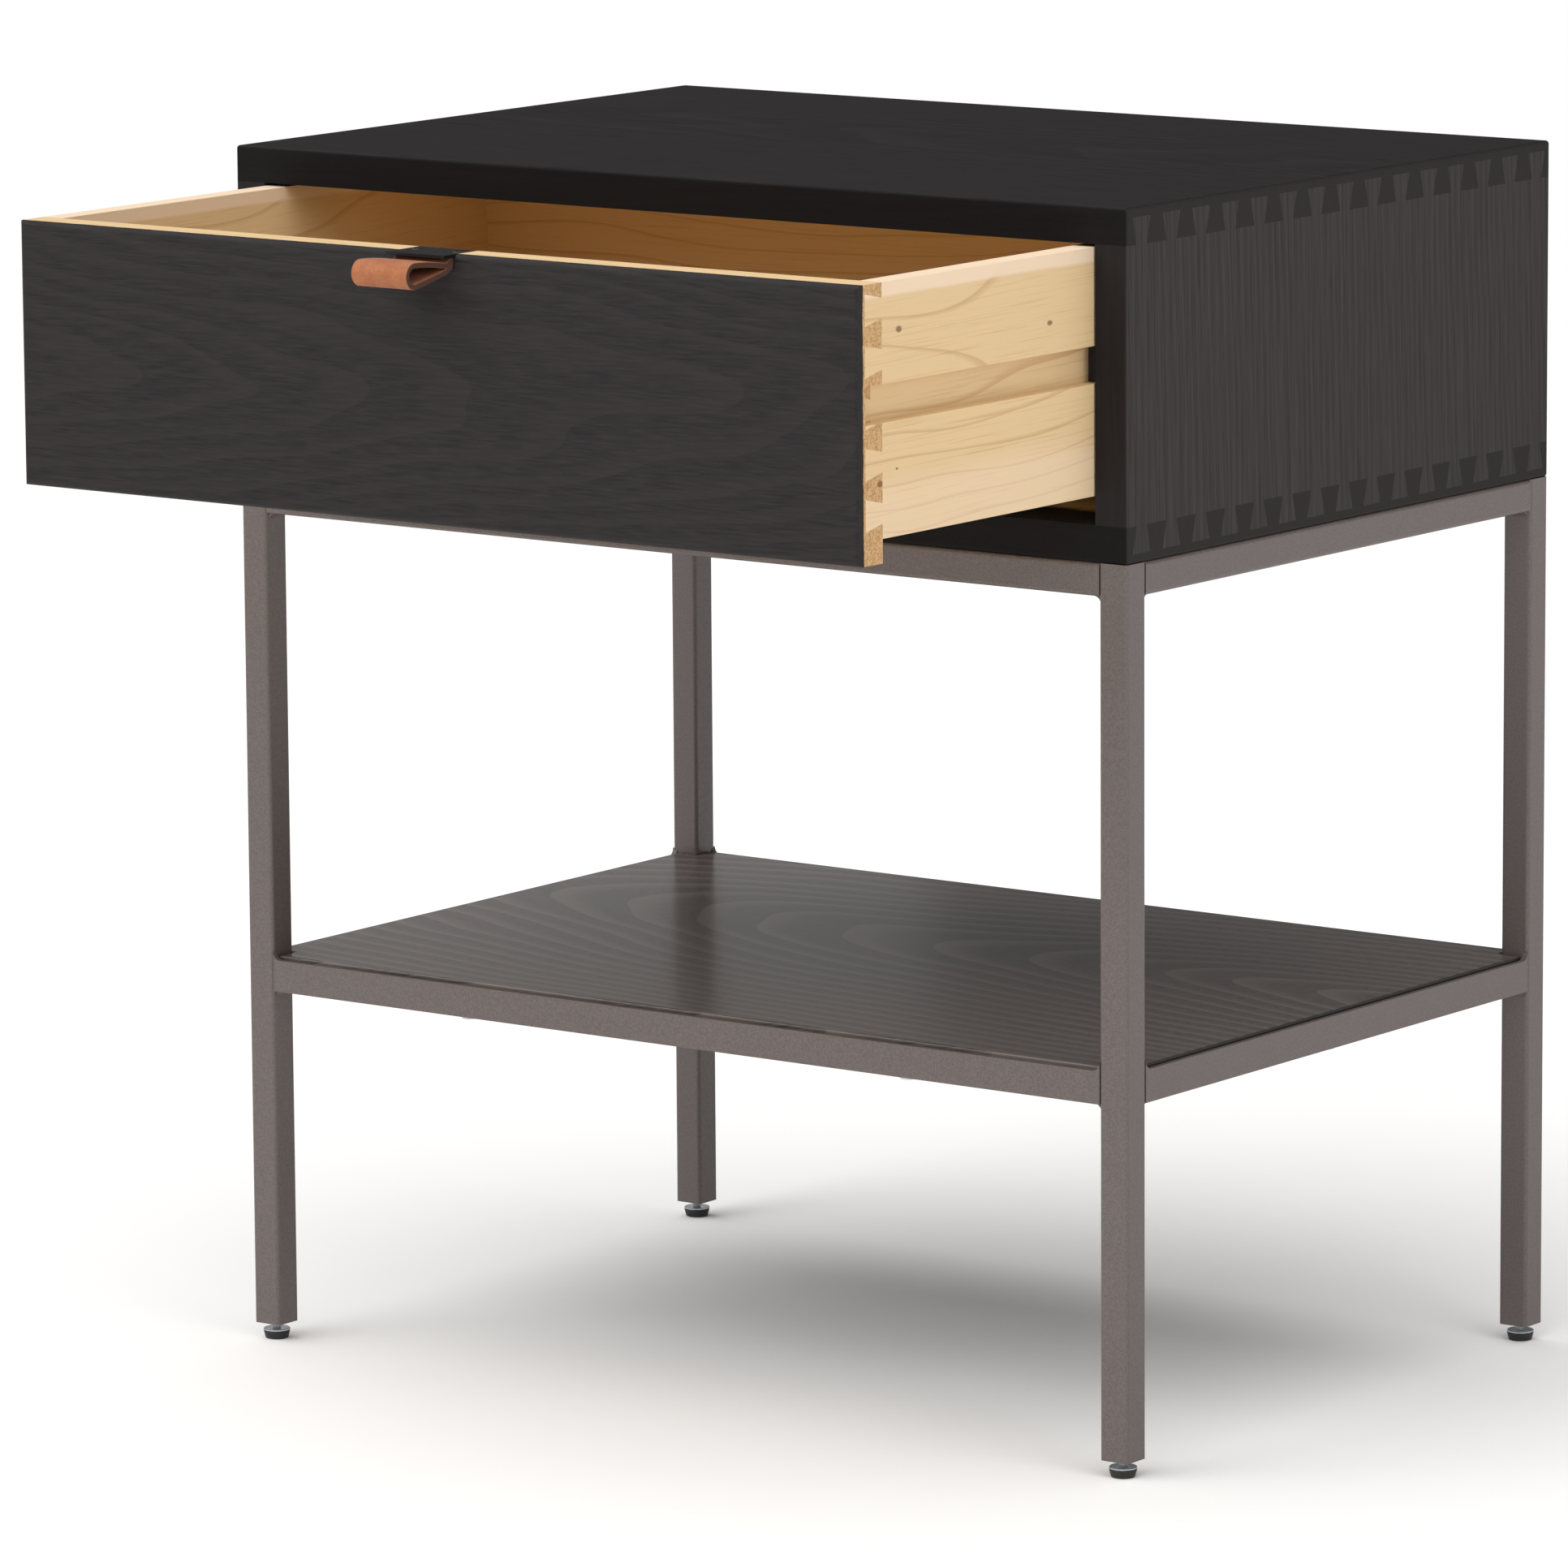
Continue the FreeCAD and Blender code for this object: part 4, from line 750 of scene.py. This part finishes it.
class TABLE_OT_pull(bpy.types.Operator):
    """Model the leather strap as one folded ribbon and its screws, and finish its steel plate"""
    bl_idname = "table.pull"
    bl_label = "Leather Pull"

    def execute(self, context):
        leather = settings()[2]
        self.strap(leather)
        self.plate()
        self.screws()
        return {"FINISHED"}

    def centre_line(self, ply):
        """Points along the middle of the ribbon, from the end of its upper ply round to that of the lower."""
        radius = (STRAP_HIGH.z - STRAP_LOW.z) / 2
        nose_y = STRAP_LOW.y + radius
        nose_z = STRAP_HIGH.z - radius
        inner = radius - ply / 2
        upper = STRAP_HIGH.z - ply / 2
        lower = STRAP_HIGH.z - 1.5 * ply
        face = DRAWER_LOW.y
        end = STRAP_HIGH.y
        # the two plies leave their notch flat and sag together before they part
        sag = 2.6 * MM
        pinch = face - 4.5 * MM
        leaving = [(end, 0.0), ((end + face) / 2, 0.0), (face + 1.5 * MM, 0.0), (face - 0.5 * MM, -0.1 * sag),
                   (face - 2.2 * MM, -0.55 * sag), (pinch, -sag)]
        points = [(y, upper + drop) for y, drop in leaving]
        swell = ((0.3, 0.48), (0.6, 0.82), (0.85, 0.97))
        points += [(pinch + (nose_y - pinch) * share, upper - sag * (1 - rise)) for share, rise in swell]
        reach = math.hypot(lower - sag - nose_z, pinch - nose_y)
        leave = math.atan2(lower - sag - nose_z, pinch - nose_y) - math.acos(inner / reach)
        bends = 14
        turn = math.pi + (math.pi / 2 + leave)
        for step in range(bends + 1):
            angle = math.pi / 2 + turn * step / bends
            points.append((nose_y + inner * math.cos(angle), nose_z + inner * math.sin(angle)))
        last_y, last_z = points[-1]
        for share in (0.3, 0.6, 0.85):
            points.append((last_y + (pinch - last_y) * share, last_z + (lower - sag - last_z) * share - 0.2 * MM))
        points += [(y, lower + drop) for y, drop in reversed(leaving)]
        return points

    def strap(self, leather):
        """A ribbon drawn out along the centre line, thickened, with rounded cut edges."""
        width = STRAP_HIGH.x - STRAP_LOW.x
        path = [Vector((0, y, z)) for y, z in self.centre_line(leather.thickness)]
        piece = single_point((STRAP_LOW.x, path[0].y, path[0].z))
        shares = (0.0, 0.04, 0.35, 0.65, 0.96, 1.0)
        draw_out([Vector((STRAP_LOW.x + width * share, 0, 0)) for share in shares])
        bpy.ops.mesh.select_all(action="SELECT")
        draw_out(path)
        bpy.ops.mesh.select_all(action="SELECT")
        bpy.ops.mesh.normals_make_consistent(inside=False)
        bpy.ops.object.mode_set(mode="OBJECT")
        apply_modifier(piece, "SOLIDIFY", thickness=leather.thickness - 0.02 * MM, offset=0.0)
        apply_modifier(piece, "BEVEL", width=leather.softness, segments=3, angle_limit=math.radians(50))
        settle(piece, "leather_strap", 50.0)
        hand_over(piece, "drawer", "tan_leather", nubuck("tan_nubuck_leather"), "pull_strap")

    def plate(self):
        """The steel plate in its notch keeps its CAD shape and takes a black oxide finish."""
        oxide = plated_steel("black_oxide_steel", settings()[1].oxide, 0.5, 0.4)
        paint("pull_plate", oxide)

    def screws(self):
        """Two low domed screws with a cross recess."""
        low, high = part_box("pull_screws")
        oxide = plated_steel("blackened_screw_steel", "4a4745", 0.3)
        head = 3.4 * MM
        shank = 1.6 * MM
        head_foot = high.z - 1.8 * MM
        for side, x in (("left", low.x + head), ("right", high.x - head)):
            centre = Vector((x, (low.y + high.y) / 2, 0))
            profile = [(0, low.z), (shank * 0.4, low.z + 1.5 * MM), (shank, low.z + 3 * MM), (shank, head_foot),
                       (head, head_foot), (head, high.z - 0.75 * MM), (head * 0.94, high.z - 0.5 * MM),
                       (head * 0.8, high.z - 0.25 * MM), (head * 0.45, high.z - 0.05 * MM), (0, high.z)]
            piece = turned_piece("pull_screw_" + side, centre, profile, 32)
            self.cross_recess(piece, Vector((centre.x, centre.y, high.z)), head)
            hand_over(piece, "drawer", "black_steel", oxide, "pull_screws")

    def cross_recess(self, piece, top, head):
        """Cut a cross into a screw's head."""
        for turn in (math.radians(20), math.radians(110)):
            start_clean()
            bpy.ops.mesh.primitive_cube_add(size=1, location=top, rotation=(0, 0, turn))
            cutter = bpy.context.object
            cutter.scale = (head * 1.0, head * 0.22, 1.5 * MM)
            apply_modifier(piece, "BOOLEAN", operation="DIFFERENCE", object=cutter, solver="EXACT")
            bpy.data.objects.remove(cutter)
        settle(piece, piece.name)


class TABLE_OT_stage(bpy.types.Operator):
    """Lay the pale floor, hang the soft lights and set up the camera"""
    bl_idname = "table.stage"
    bl_label = "Stage"

    def execute(self, context):
        stage = settings()[3]
        self.floor(stage)
        self.sky(stage)
        self.overhead(stage)
        self.lamp("key_light", stage.key, (-1.6, -3.2, 2.6), 2.6)
        self.lamp("side_light", stage.side, (3.4, -0.8, 1.9), 2.2)
        strip = self.lamp("back_strip", stage.back, (-2.26, 1.06, 0.42), 3.0)
        strip.data.shape = "RECTANGLE"
        strip.data.size_y = 0.75
        strip.visible_camera = False
        self.camera(stage)
        context.scene.view_settings.view_transform = "Standard"
        return {"FINISHED"}

    def floor(self, stage):
        """A wide pale floor."""
        start_clean()
        bpy.ops.mesh.primitive_plane_add(size=160)
        floor = bpy.context.object
        floor.name = "floor"
        material, tree, shader = new_material("white_paper_floor")
        shader.inputs["Base Color"].default_value = linear(stage.floor)
        shader.inputs["Roughness"].default_value = 0.9
        floor.data.materials.append(material)

    def sky(self, stage):
        """White surroundings."""
        world = bpy.data.worlds.new("white_surroundings")
        world.use_nodes = True
        background = world.node_tree.nodes["Background"]
        background.inputs["Color"].default_value = (1, 1, 1, 1)
        background.inputs["Strength"].default_value = stage.sky
        bpy.context.scene.world = world

    def overhead(self, stage):
        """A very wide soft light from above, a little to the front and left."""
        light = bpy.data.lights.new("overhead_light", "SUN")
        light.energy = stage.top
        light.angle = math.radians(100)
        holder = bpy.data.objects.new("overhead_light", light)
        bpy.context.scene.collection.objects.link(holder)
        holder.rotation_euler = Vector((0.12, 0.4, -1)).to_track_quat("-Z", "Y").to_euler()

    def lamp(self, name, power, place, size):
        """A soft box that faces the middle of the table."""
        light = bpy.data.lights.new(name, "AREA")
        light.energy = power
        light.size = size
        holder = bpy.data.objects.new(name, light)
        bpy.context.scene.collection.objects.link(holder)
        holder.location = place
        aim = Vector((0, 0, 0.35)) - Vector(place)
        holder.rotation_euler = aim.to_track_quat("-Z", "Y").to_euler()
        return holder

    def camera(self, stage):
        """A long lens from the front right, a little over the table top."""
        lens = bpy.data.cameras.new("camera")
        lens.lens = stage.camera_lens
        lens.sensor_width = 36
        lens.clip_end = 400
        holder = bpy.data.objects.new("camera", lens)
        bpy.context.scene.collection.objects.link(holder)
        holder.location = stage.camera_place
        look = Euler((math.pi / 2 + stage.camera_pitch, 0, stage.camera_yaw)).to_matrix()
        holder.rotation_euler = (look @ Matrix.Rotation(stage.camera_roll, 3, "Z")).to_euler()
        bpy.context.scene.camera = holder


OPERATORS = (
    TABLE_OT_case,
    TABLE_OT_drawer,
    TABLE_OT_frame,
    TABLE_OT_shelf,
    TABLE_OT_fixings,
    TABLE_OT_feet,
    TABLE_OT_pull,
    TABLE_OT_stage,
)
SETTINGS = {
    "table_wood": WoodSettings,
    "table_metal": MetalSettings,
    "table_leather": LeatherSettings,
    "table_stage": StageSettings,
}


class TABLE_PT_panel(bpy.types.Panel):
    """Lists the table's steps and settings"""
    bl_label = "Side Table"
    bl_idname = "TABLE_PT_panel"
    bl_space_type = "VIEW_3D"
    bl_region_type = "UI"
    bl_category = "Side Table"

    def draw(self, context):
        for operator in OPERATORS:
            self.layout.operator(operator.bl_idname)
        for name, group in SETTINGS.items():
            part = self.layout.box()
            for setting in group.__annotations__:
                part.prop(getattr(context.scene, name), setting)


def register():
    """Add the settings, operators and panel to Blender."""
    for name, group in SETTINGS.items():
        bpy.utils.register_class(group)
        setattr(bpy.types.Scene, name, bpy.props.PointerProperty(type=group))
    for operator in OPERATORS:
        bpy.utils.register_class(operator)
    bpy.utils.register_class(TABLE_PT_panel)


def unregister():
    """Take them out again."""
    bpy.utils.unregister_class(TABLE_PT_panel)
    for operator in reversed(OPERATORS):
        bpy.utils.unregister_class(operator)
    for name, group in SETTINGS.items():
        delattr(bpy.types.Scene, name)
        bpy.utils.unregister_class(group)


def main():
    """Build everything in order."""
    register()
    bpy.ops.table.case()
    bpy.ops.table.drawer()
    bpy.ops.table.frame()
    bpy.ops.table.shelf()
    bpy.ops.table.fixings()
    bpy.ops.table.feet()
    bpy.ops.table.pull()
    bpy.ops.table.stage()


if __name__ == "__main__":
    main()
